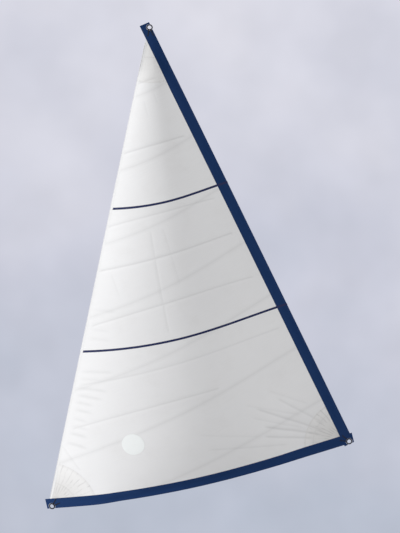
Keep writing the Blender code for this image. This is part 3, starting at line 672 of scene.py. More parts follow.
def strip_back(layer, corners, inset):
    """A strip's starboard face: full height over the hem and by the rings, down onto the patches inside."""

    def back(plan):
        share = smooth((HEM_REACH - inset(plan)) / CLIMB)
        for corner in corners:
            share = np.maximum(share, smooth((RING_REACH - corner.distance(plan)) / RING_FADE))
        low = patch_under(plan) + GAP
        return low + (layer * PITCH - low) * share

    return back


foot_strip_back = strip_back(FOOT_STRIP_LAYER, (TACK_CORNER, CLEW_CORNER), foot_inset)
leech_strip_own = strip_back(LEECH_STRIP_LAYER, (HEAD_CORNER, CLEW_CORNER), leech_inset)


def leech_strip_back(plan):
    """The leech strip's starboard face, which climbs over the foot strip where they cross."""
    over = smooth((STRIP_WIDTH + CLIMB - foot_inset(plan)) / CLIMB)
    own = leech_strip_own(plan)
    return own + np.maximum(0.0, foot_strip_back(plan) + PITCH - own) * over


def stripe_back(plan):
    """A port stripe's starboard face: on the panels, and up over the leech strip."""
    over = smooth((STRIP_WIDTH + STRIPE_CLIMB - leech_inset(plan)) / STRIPE_CLIMB)
    low = front_of(1) + GAP
    return low + (leech_strip_back(plan) + PITCH - low) * over


def stripe_grid(share, after_inset):
    """A draft stripe: rows along the foot's direction across its width, each from the luff to the leech."""
    middle = TACK + UP_LUFF * (LUFF_LENGTH * share)
    rows = np.linspace(STRIPE_WIDTH / 2 + STRIPE_BLEED, -STRIPE_WIDTH / 2 - STRIPE_BLEED, 5)
    start = middle + UP_FROM_STRIPE * rows[:, None]
    luff = TACK + INTO_FROM_LUFF * STRIPE_LUFF_INSET
    low = cross(luff - start, UP_LUFF) / cross(ALONG_STRIPE, UP_LUFF)
    leech = leech_line(after_inset, EDGE_SHARES) - middle
    high = np.interp(-rows, -(leech @ UP_FROM_STRIPE), leech @ ALONG_STRIPE)
    along = spread(low, high, round((high - low).max() / sizes().strip_spacing) + 1)
    return start[:, None] + along[..., None] * ALONG_STRIPE, paired(along, rows[:, None])


def bearings_at(edge, centre, radii):
    """The bearings from a centre at which an edge's points (n, 2), from the nearest on, lie at the radii."""
    away = edge - centre
    distance = np.linalg.norm(away, axis=-1)
    start = np.argmin(distance)
    return np.interp(radii, distance[start:], np.unwrap(np.arctan2(away[:, 1], away[:, 0]))[start:])


def patch_grid(corner, radius):
    """A tack or clew patch: rows at radii from the ring's cut-out, each an arc from edge to edge of the sail."""
    spacing = sizes().patch_spacing
    edge_in = EDGE_TAPE_WIDTH + TAPE_MARGIN
    t = NEAR_CORNER_SHARES
    if corner is TACK_CORNER:
        edges = [foot_line(edge_in, t), luff_line(LUFF_TAPE_WIDTH + TAPE_MARGIN, t)]
    else:
        edges = [leech_line(edge_in, 1 - t), foot_line(edge_in, 1 - t)]
    radii = np.linspace(CUTOUT_RADIUS, radius, max(10, round((radius - CUTOUT_RADIUS) / spacing)) + 1)
    low, high = (bearings_at(edge, corner.centre, radii) for edge in edges)
    high = low + np.mod(high - low, 2 * math.pi)
    angle = spread(low, high, max(12, round(radius * (high - low).min() / spacing)) + 1)
    return corner.centre + radii[:, None, None] * bearing(angle), paired(angle, radii[:, None])


def head_patch_grid(corner, radius):
    """A head patch: rows square to the leech from the strip's end down, the lowest bent to an arc of the radius."""
    spacing = sizes().patch_spacing
    edge_in = EDGE_TAPE_WIDTH + TAPE_MARGIN
    wide = STRIP_WIDTH - edge_in
    luff = TACK + INTO_FROM_LUFF * (LUFF_TAPE_WIDTH + TAPE_MARGIN)
    armpit = meeting(HEAD + INTO_FROM_LEECH * wide, DOWN_LEECH, luff, UP_LUFF)
    junction = (armpit - HEAD) @ DOWN_LEECH
    across_share = np.linspace(0.0, 1.0, 2 * max(6, round(wide / spacing)) + 1)
    lowest = radius + HEAD_RING_FROM_TOP
    down = np.linspace(edge_in, lowest, max(12, round(lowest / spacing)) + 1)
    down[np.argmin(np.abs(down - junction))] = junction
    forward = np.where(down <= junction, wide, wide + (down - junction) * math.tan(HEAD_ANGLE))
    across = edge_in + (forward - edge_in)[:, None] * across_share
    across = across - (LEECH_ROUND * arched(down / LEECH_LENGTH))[:, None] * (1 - across_share)
    plan = HEAD + DOWN_LEECH * down[:, None, None] + INTO_FROM_LEECH * across[..., None]
    away = plan - corner.centre
    distance = np.linalg.norm(away, axis=-1, keepdims=True)
    bend = smooth((down - junction) / (down[-1] - junction))[:, None, None]
    pulled = corner.centre + away / distance * np.minimum(distance, radius)
    return plan + (pulled - plan) * bend, paired(np.arctan2(away[..., 1], away[..., 0]), distance[..., 0])


def disc_grid():
    """The insignia disc: a square grid pressed round, each side u as u * sqrt(1 - v^2 / 2) of the radius."""
    side = np.linspace(-1.0, 1.0, 2 * round(DISC_DIAMETER / 2 / sizes().patch_spacing) + 1)
    u, v = np.meshgrid(side, side)
    round_plan = np.stack([u * np.sqrt(1 - v**2 / 2), v * np.sqrt(1 - u**2 / 2)], -1) * DISC_DIAMETER / 2
    return DISC_PLACE + round_plan, round_plan


# Hems, lines, rings and straps


class Hem:
    """A hemmed edge: its line and length, where its tape starts and ends, the tape's width and its cord's diameter.

    The sleeve is an ellipse as much taller than the cord as steepness says, and the solid has so many spans.
    """

    def __init__(self, line, length, near, far, width, diameter, steepness, spans=1):
        self.line, self.length, self.run, self.width = line, length, length - near - far, width
        self.diameter, self.steepness, self.spans = diameter, steepness, spans
        self.ends = near / length, 1 - far / length
        self.inset = line_inset(diameter)

    def shares(self):
        return np.linspace(*self.ends, round(self.run / sizes().strip_spacing) + 1)


HEMS = {
    "luff_tape": Hem(luff_line, LUFF_LENGTH, 0.26, 0.48, LUFF_TAPE_WIDTH, BEAD_DIAMETER, 1.25),
    "foot_tape": Hem(foot_line, FOOT_LENGTH, 0.22, 0.46, EDGE_TAPE_WIDTH, LINE_DIAMETER, 1.1, 12),
    "leech_tape": Hem(leech_line, LEECH_LENGTH, 0.26, 0.46, EDGE_TAPE_WIDTH, LINE_DIAMETER, 1.1, 8),
}


def hem_section(hem):
    """A folded tape's section as insets and offsets, round it: up the port leg, over the sleeve, down the
    starboard leg, and back inside. Each face is the larger of a flat leg and an ellipse about the line."""
    half = hem.diameter / 2 + LINE_CLEARANCE
    tall = half * hem.steepness
    leg = np.linspace(hem.width, hem.inset + half + TAPE_WALL + LEG_END, 4)
    angle = np.linspace(0.0, math.pi, 13)
    skins = []
    for wall, port, starboard in ((TAPE_WALL, front_of(2), -PITCH), (0.0, 2 * PITCH, -PITCH + CLOTH)):
        bulge = hem.inset + (half + wall) * np.cos(angle)
        rise = (tall + wall) * np.sin(angle)
        over = np.maximum(MID_CLOTH + rise, np.where(bulge > hem.inset, port, MID_CLOTH))
        under = np.minimum(MID_CLOTH - rise, np.where(bulge > hem.inset, starboard, MID_CLOTH))
        insets = np.concatenate([leg, bulge, bulge[::-1][1:], leg[::-1]])
        offsets = np.concatenate([np.full_like(leg, port), over, under[::-1][1:], np.full_like(leg, starboard)])
        skins.append(np.stack([insets, offsets], -1))
    return np.concatenate([skins[0], skins[1][::-1]])


def hem_piece(name, hem):
    """A folded tape and its cut's width, length and area: its section set at stations square to the edge."""
    section = hem_section(hem)
    t = hem.shares()
    rings = np.stack([lifted(hem.line(inset, t), offset) for inset, offset in section], 1)
    made = tube_piece(name, rings, section)
    full = (fullness(rings[..., ::2]) * np.sign(section[:, 1] - MID_CLOTH)).ravel()
    middle = lifted(hem.line((hem.width + hem.inset) / 2, t), 0.0)
    run, around = (
        float(np.linalg.norm(np.diff(path, axis=0), axis=-1).sum()) for path in (middle, section[: len(section) // 2])
    )
    return with_values(made, "fullness", np.concatenate([full, [0.0, 0.0]])), (around, run, around * run)


def cleat_place(hem):
    """A hem line's end and heading, and its cleat's foot and axes (side, starboard, heading), as in the solids."""
    start, end = hem.ends
    before, last = hem.line(hem.inset, np.array([end - (end - start) / hem.spans, end]))
    onward = unit(last - before)
    inward = left_of(onward) if hem.line is foot_line else -left_of(onward)
    middle = last + onward * CLEAT_FROM_TAPE + inward * (CLEAT_INSET - hem.inset)
    heading, starboard = CLEW_CORNER.run(onward), -CLEW_CORNER.port
    foot = lifted(middle, 0.0) + starboard * (GAP + 2 * PITCH)
    return last, onward, foot, np.array([np.cross(starboard, heading), starboard, heading])


def hem_line_path(hem):
    """A hem line: along its bore, out of the tape's end, round the cloth's edge and through its cleat.

    The bend is the cubic Hermite form: it leaves and arrives with the same run along the cleat.
    """
    run = lifted(hem.line(hem.inset, hem.shares()), MID_CLOTH)
    last, onward, foot, axes = cleat_place(hem)
    above = CLEAT_FLOOR + GAP + LINE_DIAMETER / 2
    out = lifted(last + onward * LINE_RUN_OUT, MID_CLOTH)
    mouth, end = (
        foot + np.array([0.0, above, z]) @ axes for z in (-CLEAT_LENGTH / 2 - LINE_RUN_IN, CLEAT_LENGTH / 2 + LINE_END)
    )
    t = np.linspace(0.0, 1.0, 14)[:, None]
    bend = out + (3 * t**2 - 2 * t**3) * (mouth - out) + (2 * t**3 - 3 * t**2 + t) * axes[2] * LINE_BEND
    return np.concatenate([run[:-1], bend, [end]])


def ring_piece(corner):
    """A turned ring: a round bar's section with flat sides, carried round the bore."""
    turn, angle = circle(28), circle(96)[:, None]
    out = BAR_RADIUS + RING_BAR / 2 * np.cos(turn)
    tall = np.clip(RING_BAR / 2 * np.sin(turn), -RING_FLAT / 2, RING_FLAT / 2)
    local = np.stack(np.broadcast_arrays(out * np.cos(angle), tall, out * np.sin(angle)), -1)
    points = corner.placed(local).reshape(-1, 3)
    faces = grid_faces(*local.shape[:2], around=True, closed=True)
    return mesh_piece(corner.name + "_ring_turned", points, paired(angle, turn).reshape(-1, 2), *outward(points, faces))


def strap_path(corner):
    """The middle of a strap in its own frame: in along the port face, round the ring's bar, and back to starboard."""
    half = STRAP_WIDTH / 2
    apex = BAR_RADIUS - math.sqrt((BAR_RADIUS - RING_BAR / 2) ** 2 - half**2) + GAP
    edge_turn = STRAP_SPREAD + math.asin(half / BAR_RADIUS)
    lift = BAR_RADIUS * (math.cos(STRAP_SPREAD) - math.cos(edge_turn)) * math.sin(RING_SWING)
    bend = RING_BAR / 2 + SWING_SPARE
    mid = STRAP_THICKNESS / 2
    arc = np.array([bend - apex, lift]) + (bend + mid) * bearing(np.linspace(math.pi / 2, math.pi, 15))
    leg = np.linspace(STRAP_LENGTH, STRAP_CONVERGE, 9)
    port_leg = paired(leg, front_of(corner.top_layer) + GAP + mid)
    starboard_leg = paired(leg[::-1], -2 * PITCH - GAP - mid)
    path = np.concatenate([port_leg, arc, (arc * [1, -1])[::-1], starboard_leg])
    return np.stack([path[:, 0], path[:, 1], 0 * path[:, 0]], -1)


def webbing_section():
    """Flat webbing with round selvedges: half circles of the thickness at both edges."""
    half, thick = STRAP_WIDTH / 2, STRAP_THICKNESS / 2
    edge = np.array([half - thick, 0.0]) + thick * bearing(np.linspace(-math.pi / 2, math.pi / 2, 5))
    flat = paired(np.linspace(half - thick, thick - half, 8)[1:-1], thick)
    side = np.concatenate([edge, flat])
    return np.concatenate([side, -side])


def strap_piece(corner, side, turn):
    section = webbing_section()
    local = carried(strap_path(corner), np.array([0.0, 0.0, 1.0]), section)
    return tube_piece(f"{corner.name}_strap_{side}_webbing", corner.placed(local, turn, BAR_RADIUS), section)


# Materials


class Wire:
    """A shader output that can be reckoned with: each operation is a Math node of its tree."""

    def __init__(self, socket):
        self.socket, self.tree = socket, socket.id_data

    def maths(self, operation, *others, clamp=False):
        return wired(self.tree, "Math", [self, *others], operation=operation, use_clamp=clamp)

    def __add__(self, other):
        return self.maths("ADD", other)

    def __sub__(self, other):
        return self.maths("SUBTRACT", other)

    def __rsub__(self, other):
        return wired(self.tree, "Math", [other, self], operation="SUBTRACT")

    def __mul__(self, other):
        return self.maths("MULTIPLY", other)

    def __truediv__(self, other):
        return self.maths("DIVIDE", other)

    def __abs__(self):
        return self.maths("ABSOLUTE")


def plug(socket, value):
    """Links a wire to a socket, or sets the socket; a colour gets its alpha here."""
    if isinstance(value, Wire):
        value.tree.links.new(value.socket, socket)
    else:
        socket.default_value = (*value, 1.0) if socket.type == "RGBA" else value


def node(tree, kind, inputs=(), **settings):
    """A shader node, its inputs given in order, or by name or number."""
    made = tree.nodes.new("ShaderNode" + kind)
    for name, value in settings.items():
        setattr(made, name, value)
    for key, value in inputs.items() if isinstance(inputs, dict) else enumerate(inputs):
        plug(made.inputs[key], value)
    return made


def wired(tree, kind, inputs=(), output=0, **settings):
    return Wire(node(tree, kind, inputs, **settings).outputs[output])


def axes_of(vector):
    return [Wire(output) for output in node(vector.tree, "SeparateXYZ", [vector]).outputs]


def noise(vector, scale, detail=2.0, roughness=0.5):
    inputs = {"Vector": vector, "Scale": scale, "Detail": detail, "Roughness": roughness}
    return wired(vector.tree, "TexNoise", inputs, "Fac")


def stretched(vector, x, y):
    return wired(vector.tree, "Mapping", {"Vector": vector, "Scale": (x, y, 1.0)})


def span(value, start, end, low=0.3, high=0.7):
    """Value's range low..high, which is noise's unless it is given, read as start..end and held beyond it."""
    inputs = {"Value": value, "From Min": low, "From Max": high, "To Min": start, "To Max": end}
    return wired(value.tree, "MapRange", inputs, "Result")


def tinted(factor, first, second):
    """A mix of two colours."""
    return wired(factor.tree, "Mix", {0: factor, 6: first, 7: second}, 2, data_type="RGBA")


def shaded(color, factor):
    """A colour times a number."""
    grey = wired(factor.tree, "CombineColor", [factor] * 3)
    return wired(factor.tree, "Mix", {0: 1.0, 6: color, 7: grey}, 2, data_type="RGBA", blend_type="MULTIPLY")


def toned(color, mask, tone):
    """The colour, times the tone where the mask is 1."""
    return shaded(color, span(mask, 1.0, tone, 0.0, 1.0))


def larger(first, second):
    return first.maths("MAXIMUM", second)


def line_mask(distance, half_width, soft):
    """1 within half_width of a line, falling to 0 over soft, from the distance to it."""
    return span(abs(distance), 1.0, 0.0, half_width, half_width + soft)


def weave(u, v, pitch):
    """Plain weave: threads that cross over and under, as the larger of two waves in turn."""
    warp, weft = ((axis * (2 * math.pi / pitch)).maths("SINE") for axis in (u, v))
    return larger(warp, weft)


def stitches(along, away, row, length, half_width=0.0006):
    """A row of straight stitches at a distance from an edge: dashes with a gap of a third between them."""
    dash = span((along / length).maths("FRACT"), 1.0, 0.0, 0.62, 0.70)
    return dash * line_mask(away - row, half_width, 0.0004)


def zigzag(along, away, row, length, width):
    """A row of zigzag stitches: a line whose distance sways across by a triangle wave."""
    sway = (along.maths("PINGPONG", length) / length - 0.5) * width
    return line_mask(away - row - sway, 0.0006, 0.0005)


def bump(height, distance, strength=1.0, below=None):
    inputs = {"Strength": strength, "Distance": distance, "Height": height}
    return wired(height.tree, "Bump", inputs if below is None else {**inputs, "Normal": below})


class Finish:
    """A new material: its shader, its cut's coordinates (u along, v across), and its Object coordinates."""

    def __init__(self, name, roughness, metallic=0.0, specular=0.5):
        self.material = bpy.data.materials.new(name)
        self.material.use_nodes = True
        self.tree = self.material.node_tree
        self.shader = self.tree.nodes["Principled BSDF"]
        self.set(Roughness=roughness, Metallic=metallic)
        self.shader.inputs["Specular IOR Level"].default_value = specular
        self.cut = wired(self.tree, "UVMap", uv_map="cut")
        self.u, self.v, _ = axes_of(self.cut)
        self.object = wired(self.tree, "TexCoord", output="Object")

    def set(self, **values):
        for name, value in values.items():
            plug(self.shader.inputs[name.replace("_", " ")], value)

    def read(self, name):
        """The piece's own values of that name."""
        return wired(self.tree, "Attribute", output="Fac", attribute_name=name)

    def woven(self, threads, depth=0.00004, strength=0.5):
        """The normal of a weave on the full sail."""
        return bump(threads, depth, strength, bump(self.read("fullness"), 1.0))

    def marked(self, color, look):
        """The colour, darker where the piece's marks run: painted shade along its creases, partly soiling, and inside
        patch edges.
        """
        return toned(color, self.read("marks"), look.mark_soil_and_shade)

    def done(self, color, normal, roughness=None):
        self.set(Base_Color=color, Normal=normal)
        if roughness is not None:
            self.set(Roughness=roughness)
        return self.material


def cloth_ground(f, color, stain, along, depth):
    """White sailcloth: a broad variation of tone, thread slubs along the fill, flecks, and soiling."""
    slub = span(noise(stretched(along, 2.5, 90.0), 1.0, 3.0), -0.012, 0.012)
    fleck = span(noise(f.object, 260.0), -0.012, 0.012)
    tone = span(noise(f.object, 0.9, 3.0), 0.975, 1.0) + slub + fleck
    stained = span(noise(f.object, 2.3, 4.0, 0.6), 0.0, depth, 0.52, 0.78)
    return shaded(tinted(stained, color, stain), tone)


def sailcloth(name, look):
    """Panel cloth: a lap with two zigzag rows at every seam, its double cloth painted darker as shade, and painted
    shade with soiling beside it.
    """
    f = Finish(name, 0.5, specular=0.35)
    spacing = SEAM_SPACING * float(DOWN_LEECH @ DOWN_SEAMS)
    near = (f.v - seam_place(0)).maths("PINGPONG", spacing / 2)
    lap = span(near, 1.0, 0.0, SEAM_LAP / 2 - 0.0005, SEAM_LAP / 2 + 0.0005)
    thread = zigzag(f.u, near, 0.006, 0.0035, 0.004)
    color = cloth_ground(f, look.cloth_color, look.stain_color, f.cut, 0.10)
    # The lap is painted darker: painted shade of the double cloth
    color = toned(color, lap, look.lap_painted_shade)
    # A band about each seam, lap included, painted darker: painted shade of the seam's puckering, partly real soiling
    color = toned(color, span(near, 1.0, 0.0, SEAM_LAP / 2, 0.072), look.seam_soil_and_shade)
    color = tinted(thread * 0.4, f.marked(color, look), look.thread_color)
    normal = bump(lap * 0.1 + thread * 0.4, 0.0004, 1.0, f.woven(weave(f.u, f.v, look.weave_pitch)))
    return f.done(color, normal, span(noise(f.object, 14.0, 3.0), 0.46, 0.58))


def patch_cloth(name, look):
    """Patch cloth: rays of stitching out of the ring, uneven as a sailmaker runs them, and double arcs across them."""
    f = Finish(name, 0.6, specular=0.3)
    sway = span(noise(f.cut, 3.0, 1.0), -0.02, 0.02)
    ray_away = (f.u + sway).maths("PINGPONG", 0.06) * f.v
    rays = stitches(f.v, ray_away, 0.0, 0.005, 0.0011)
    arc_away = (f.v - CUTOUT_RADIUS).maths("PINGPONG", 0.11)
    thread = larger(rays, stitches(f.u * f.v, arc_away, 0.004, 0.005, 0.0011))
    # pull: grooves along the rays of load, sunk by the bump and painted darker along them as their shade
    pull = line_mask(ray_away, 0.003, 0.014) * span(noise(f.object, 6.0), 0.0, 1.0, 0.42, 0.6)
    x, _, z = axes_of(f.object)
    low = span(z, 1.0, 0.0, 4.0, 8.0)
    heart = span(f.v, 1.0, 0.0, 0.15, 0.9) * low
    inner = tinted(heart, look.patch_color, look.inner_patch_color)
    color = toned(cloth_ground(f, inner, look.stain_color, f.object, 0.12), pull * low, look.pull_painted_shade)
    color = tinted(thread * 0.7, f.marked(color, look), look.thread_color)
    return f.done(color, bump(thread * 0.4 - pull, 0.0004, 1.0, f.woven(weave(x, z, look.weave_pitch))))


def tape_cloth(name, look):
    """Hem tape: close white cloth with two zigzag rows, a little soiled."""
    f = Finish(name, 0.6, specular=0.3)
    thread = larger(*(zigzag(f.u, f.v, row, 0.003, 0.003) for row in (0.030, 0.012)))
    color = cloth_ground(f, look.cloth_color, look.stain_color, f.cut, 0.2)
    color = tinted(thread * 0.7, color, look.thread_color)
    return f.done(color, bump(thread, 0.0003, 1.0, f.woven(weave(f.u, f.v, look.weave_pitch))))


def cover_cloth(name, look):
    """Acrylic cover cloth: a coarse matte weave, sun-faded in streaks, with zigzag rows inside each long edge."""
    f = Finish(name, 0.85, specular=0.15)
    f.set(Sheen_Weight=0.05, Sheen_Roughness=0.5)
    inner = STRIP_WIDTH - f.v
    rows = [zigzag(f.u, away, row, 0.004, 0.004) for away, row in ((f.v, 0.010), (f.v, 0.030), (inner, 0.010))]
    thread = larger(larger(rows[0], rows[1]), rows[2])
    faded = span(noise(stretched(f.cut, 1.2, 9.0), 1.0, 4.0, 0.6), 0.0, 0.5, 0.42, 0.75)
    threads = weave(f.u, f.v, look.cover_pitch)
    color = tinted(faded, look.cover_color, look.faded_color)
    color = shaded(color, span(noise(f.cut, 420.0), 0.86, 1.14) * span(threads, 0.85, 1.08, -0.5, 1.0))
    edge = line_mask(f.v.maths("MINIMUM", inner), 0.0015, 0.002)
    color = tinted(edge * 0.35, color, look.faded_color)
    color = tinted(thread * 0.55, color, look.cover_thread_color)
    return f.done(color, bump(thread * 0.3, 0.0006, 1.0, f.woven(threads, 0.00012, 0.6)))


def stripe_cloth(name, look):
    """Adhesive cloth: a fine dark weave, its edges worn a little paler."""
    f = Finish(name, 0.6, specular=0.35)
    half = STRIPE_WIDTH / 2 + STRIPE_BLEED
    edge = span(abs(f.v), 0.0, 0.5, half - 0.003, half)
    worn = span(noise(stretched(f.cut, 3.0, 40.0), 1.0, 4.0), 0.2, 1.0, 0.45, 0.6)
    color = tinted(edge * worn, look.stripe_color, look.faded_color)
    color = shaded(color, span(noise(f.cut, 300.0), 0.85, 1.15))
    return f.done(color, f.woven(weave(f.u, f.v, look.weave_pitch)))


def disc_cloth(name, look):
    """Plain adhesive cloth, smooth and slightly glossy, its rim a little soiled."""
    f = Finish(name, 0.42, specular=0.4)
    away = wired(f.tree, "VectorMath", [f.cut], "Value", operation="LENGTH")
    rim = span(away, 0.0, 0.2, DISC_DIAMETER / 2 - 0.006, DISC_DIAMETER / 2)
    color = tinted(rim, look.disc_color, look.stain_color)
    color = shaded(color, span(noise(f.object, 9.0, 3.0), 0.985, 1.0))
    return f.done(color, f.woven(weave(f.u, f.v, look.weave_pitch), 0.00003, 0.4))


def webbing_cloth(name, look):
    """Black polyester webbing: a herringbone of slanting ribs, sewn along both edges, with patches of grey fuzz."""
    f = Finish(name, 0.75, specular=0.3)
    slant = f.u + f.v.maths("PINGPONG", 0.0028) * 1.2
    rib = (slant * (2 * math.pi / 0.0016)).maths("SINE")
    sides = stitches(f.u, abs(f.v), 0.0078, 0.0035)
    fuzz = span(noise(f.object, 60.0, 3.0), 0.0, 0.35, 0.5, 0.8)
    color = shaded(tinted(fuzz, look.webbing_color, look.webbing_worn_color), span(rib, 0.7, 1.25, -1.0, 1.0))
    color = tinted(sides * 0.6, color, look.webbing_thread_color)
    return f.done(color, bump(rib + sides * 2.0, 0.0002))


def ring_metal(name, look):
    """Black anodising over aluminium: turning marks round the bore, rubbed bright in small patches."""
    f = Finish(name, 0.45, metallic=0.2, specular=0.4)
    lathe = noise(stretched(f.cut, 1.0, 70.0), 1.0)
    worn = span(noise(f.object, 38.0, 5.0, 0.7), 0.0, 0.6, 0.64, 0.76)
    color = tinted(worn, look.ring_color, look.ring_worn_color)
    return f.done(color, bump(lathe - worn * 0.6, 0.00015, 0.6), span(lathe, 0.28, 0.42) + worn * 0.12)


def cord_cloth(name, look):
    """Braided cord: strands that wind both ways round it."""
    f = Finish(name, 0.7, specular=0.3)
    lay, around = f.u * (2 * math.pi / 0.006), f.v * (2 * math.pi / 0.0012)
    braid = larger((lay + around).maths("SINE"), (lay - around).maths("SINE"))
    color = shaded(look.cord_color, span(braid, 0.78, 1.0, -0.6, 1.0))
    color = tinted(span(noise(f.object, 90.0), 0.0, 0.5, 0.55, 0.7), color, look.stain_color)
    return f.done(color, bump(braid, 0.0002, 0.8))


def moulding_plastic(name, look):
    """Glass-filled black nylon: fine moulded grain and a few pale scuffs."""
    f = Finish(name, 0.5)
    grain = noise(f.object, 900.0)
    scuff = span(noise(f.object, 160.0, 5.0, 0.7), 0.0, 0.4, 0.62, 0.72)
    color = tinted(scuff, look.moulding_color, look.webbing_worn_color)
    return f.done(color, bump(grain, 0.00008, 0.7), span(grain, 0.42, 0.6))


FINISHES = {
    "sailcloth": sailcloth,
    "patch_cloth": patch_cloth,
    "tape_cloth": tape_cloth,
    "cover_cloth": cover_cloth,
    "stripe_cloth": stripe_cloth,
    "disc_cloth": disc_cloth,
    "webbing": webbing_cloth,
    "ring_metal": ring_metal,
    "cord": cord_cloth,
    "moulding": moulding_plastic,
}


def finish_for(slot_name):
    """The finish of a material slot, made once."""
    name = slot_name + "_finish"
    return bpy.data.materials.get(name) or FINISHES[slot_name](name, bpy.context.scene.genoa_looks)


# Settings


def number_setting(name, description, default, **more):
    return bpy.props.FloatProperty(name=name, description=description, default=default, **more)


def length_setting(name, description, default):
    return number_setting(name, description, default, unit="LENGTH", precision=4)


def angle_setting(name, description, default):
    return number_setting(name, description, math.radians(default), subtype="ANGLE")


def tone_setting(name, description, default):
    return number_setting(name, description, default, subtype="FACTOR", min=0.5, max=1.0)


def color_setting(name, description, default):
    return bpy.props.FloatVectorProperty(
        name=name, description=description, default=default, size=3, subtype="COLOR", min=0.0, max=1.0
    )


class GenoaSizes(bpy.types.PropertyGroup):
    """Sizes of the cloth's relief, and how closely its meshes are divided."""

    mark_depth: length_setting("Mark depth", "Depth of a fold mark whose share is 1", 0.0045)
    panel_spacing: length_setting("Panel spacing", "Side of a panel's quads", 0.0165)
    strip_spacing: length_setting("Strip spacing", "Step along strips, stripes and hems", 0.018)
    fine_spacing: length_setting("Fine spacing", "Step across the strips, and along them near the rings", 0.010)
    patch_spacing: length_setting("Patch spacing", "Side of a patch's quads", 0.015)


class GenoaLooks(bpy.types.PropertyGroup):
    """Colours of the finishes, and the scale of the weaves."""

    cloth_color: color_setting("Sailcloth", "White of the panels and hem tapes", (0.89, 0.89, 0.90))
    patch_color: color_setting("Patch cloth", "Slightly warmer white of the corner patches", (0.88, 0.875, 0.875))
    inner_patch_color: color_setting(
        "Inner patch cloth", "Patch cloth by the ring, where most layers lie", (0.70, 0.69, 0.68)
    )
    stain_color: color_setting("Soiling", "Grey that the cloth soils to", (0.68, 0.66, 0.63))
    thread_color: color_setting("Thread", "Thread on white cloth", (0.74, 0.74, 0.73))
    cover_color: color_setting("Cover cloth", "Navy of the sun strips", (0.0072, 0.0330, 0.1190))
    faded_color: color_setting("Faded cover", "Navy that the sun has faded", (0.0145, 0.046, 0.150))
    cover_thread_color: color_setting("Cover thread", "Thread on the cover cloth", (0.03, 0.05, 0.12))
    stripe_color: color_setting("Stripe cloth", "Near-black navy of the draft stripes", (0.009, 0.015, 0.075))
    disc_color: color_setting("Disc", "Pale cloth of the plain insignia disc", (0.97, 1.0, 1.0))
    webbing_color: color_setting("Webbing", "Black of the corner straps", (0.010, 0.012, 0.020))
    webbing_worn_color: color_setting(
        "Worn webbing", "Grey that black webbing and plastic rub to", (0.045, 0.048, 0.058)
    )
    webbing_thread_color: color_setting("Webbing thread", "Thread on the webbing", (0.05, 0.055, 0.075))
    ring_color: color_setting("Ring", "Black anodising", (0.012, 0.013, 0.018))
    ring_worn_color: color_setting("Worn ring", "Metal where the anodising has worn thin", (0.12, 0.125, 0.14))
    cord_color: color_setting("Cord", "Off-white hem line and bead", (0.80, 0.80, 0.76))
    moulding_color: color_setting("Cleats", "Black moulded plastic", (0.020, 0.020, 0.022))
    # Painted shade at the seams: of the lap's double cloth, and of a band about each seam that is partly soiling
    lap_painted_shade: tone_setting("Lap shade", "Tone of the double cloth at a seam", 0.985)
    seam_soil_and_shade: tone_setting("Soil shade", "Tone of the cloth right beside a seam", 0.955)
    # Painted shade along the creases, partly soiling, and inside the patches' edges
    mark_soil_and_shade: tone_setting("Mark shade", "Tone of the cloth along the deepest mark", 0.89)
    # Painted shade in the grooves along a patch's rays of load
    pull_painted_shade: tone_setting("Pull shade", "Tone of a patch along its rays of load", 0.84)
    weave_pitch: length_setting("Weave pitch", "Repeat of the sailcloth's weave", 0.0014)
    cover_pitch: length_setting("Cover pitch", "Repeat of the cover cloth's weave", 0.0022)


class GenoaStage(bpy.types.PropertyGroup):
    """Light, background and camera."""

    key_strength: number_setting("Key", "Irradiance of the soft key", 2.33)
    key_azimuth: angle_setting("Key azimuth", "Key's side: towards the luff is negative", -79)
    key_elevation: angle_setting("Key elevation", "Key's height", 10)
    key_width: angle_setting("Key width", "How wide the key looks from the sail", 25)
    fill_strength: number_setting("Fill", "Irradiance of the softer fill", 1.50)
    fill_azimuth: angle_setting("Fill azimuth", "Fill's side: towards the leech is positive", 95)
    fill_elevation: angle_setting("Fill elevation", "Fill's height", 17)
    fill_width: angle_setting("Fill width", "How wide the fill looks from the sail", 40)
    ambient: number_setting("Ambient", "Even light from all round", 0.53)
    high_color: color_setting("Upper sky", "Backdrop at the top of the picture", (0.722, 0.722, 0.800))
    middle_color: color_setting("Middle sky", "Backdrop at its middle", (0.592, 0.606, 0.701))
    low_color: color_setting("Lower sky", "Backdrop at its foot", (0.488, 0.526, 0.622))
    sky_tilt: number_setting("Sky tilt", "How much darker the sky is on the right", 0.02)
    floor_color: color_setting("Floor", "Plain pale floor", (0.72, 0.72, 0.74))
    floor_level: length_setting("Floor level", "Height of the floor, from the tack ring", -4.6)
    lens: number_setting("Lens", "Focal length", 1250.0, unit="CAMERA")


# Operators: one for each piece or group of like pieces


class MakePanels(bpy.types.Operator):
    """Eight cross-cut panels, lapped at their seams"""

    bl_idname = "genoa.make_panels"
    bl_label = "Panels"

    def execute(self, context):
        for k in range(PANELS):
            plan, uv = panel_grid(k)
            layer = k % 2
            holes = (HEAD_CORNER,) if k == 0 else ()
            made = ply(f"panel_{k + 1}_cloth", plan, front_of(layer), layer * PITCH, uv, holes)
            fit_sheet(made, f"panel_{k + 1}", "sailcloth")
        return {"FINISHED"}


class MakeHems(bpy.types.Operator):
    """Folded tapes on the luff, the foot and the leech"""

    bl_idname = "genoa.make_hems"
    bl_label = "Hem tapes"

    def execute(self, context):
        for name, inside in (("luff_tape", "luff_bead"), ("foot_tape", "foot_line"), ("leech_tape", "leech_line")):
            fit_sheet(hem_piece(name + "_folded", HEMS[name]), name, "tape_cloth")
        return {"FINISHED"}


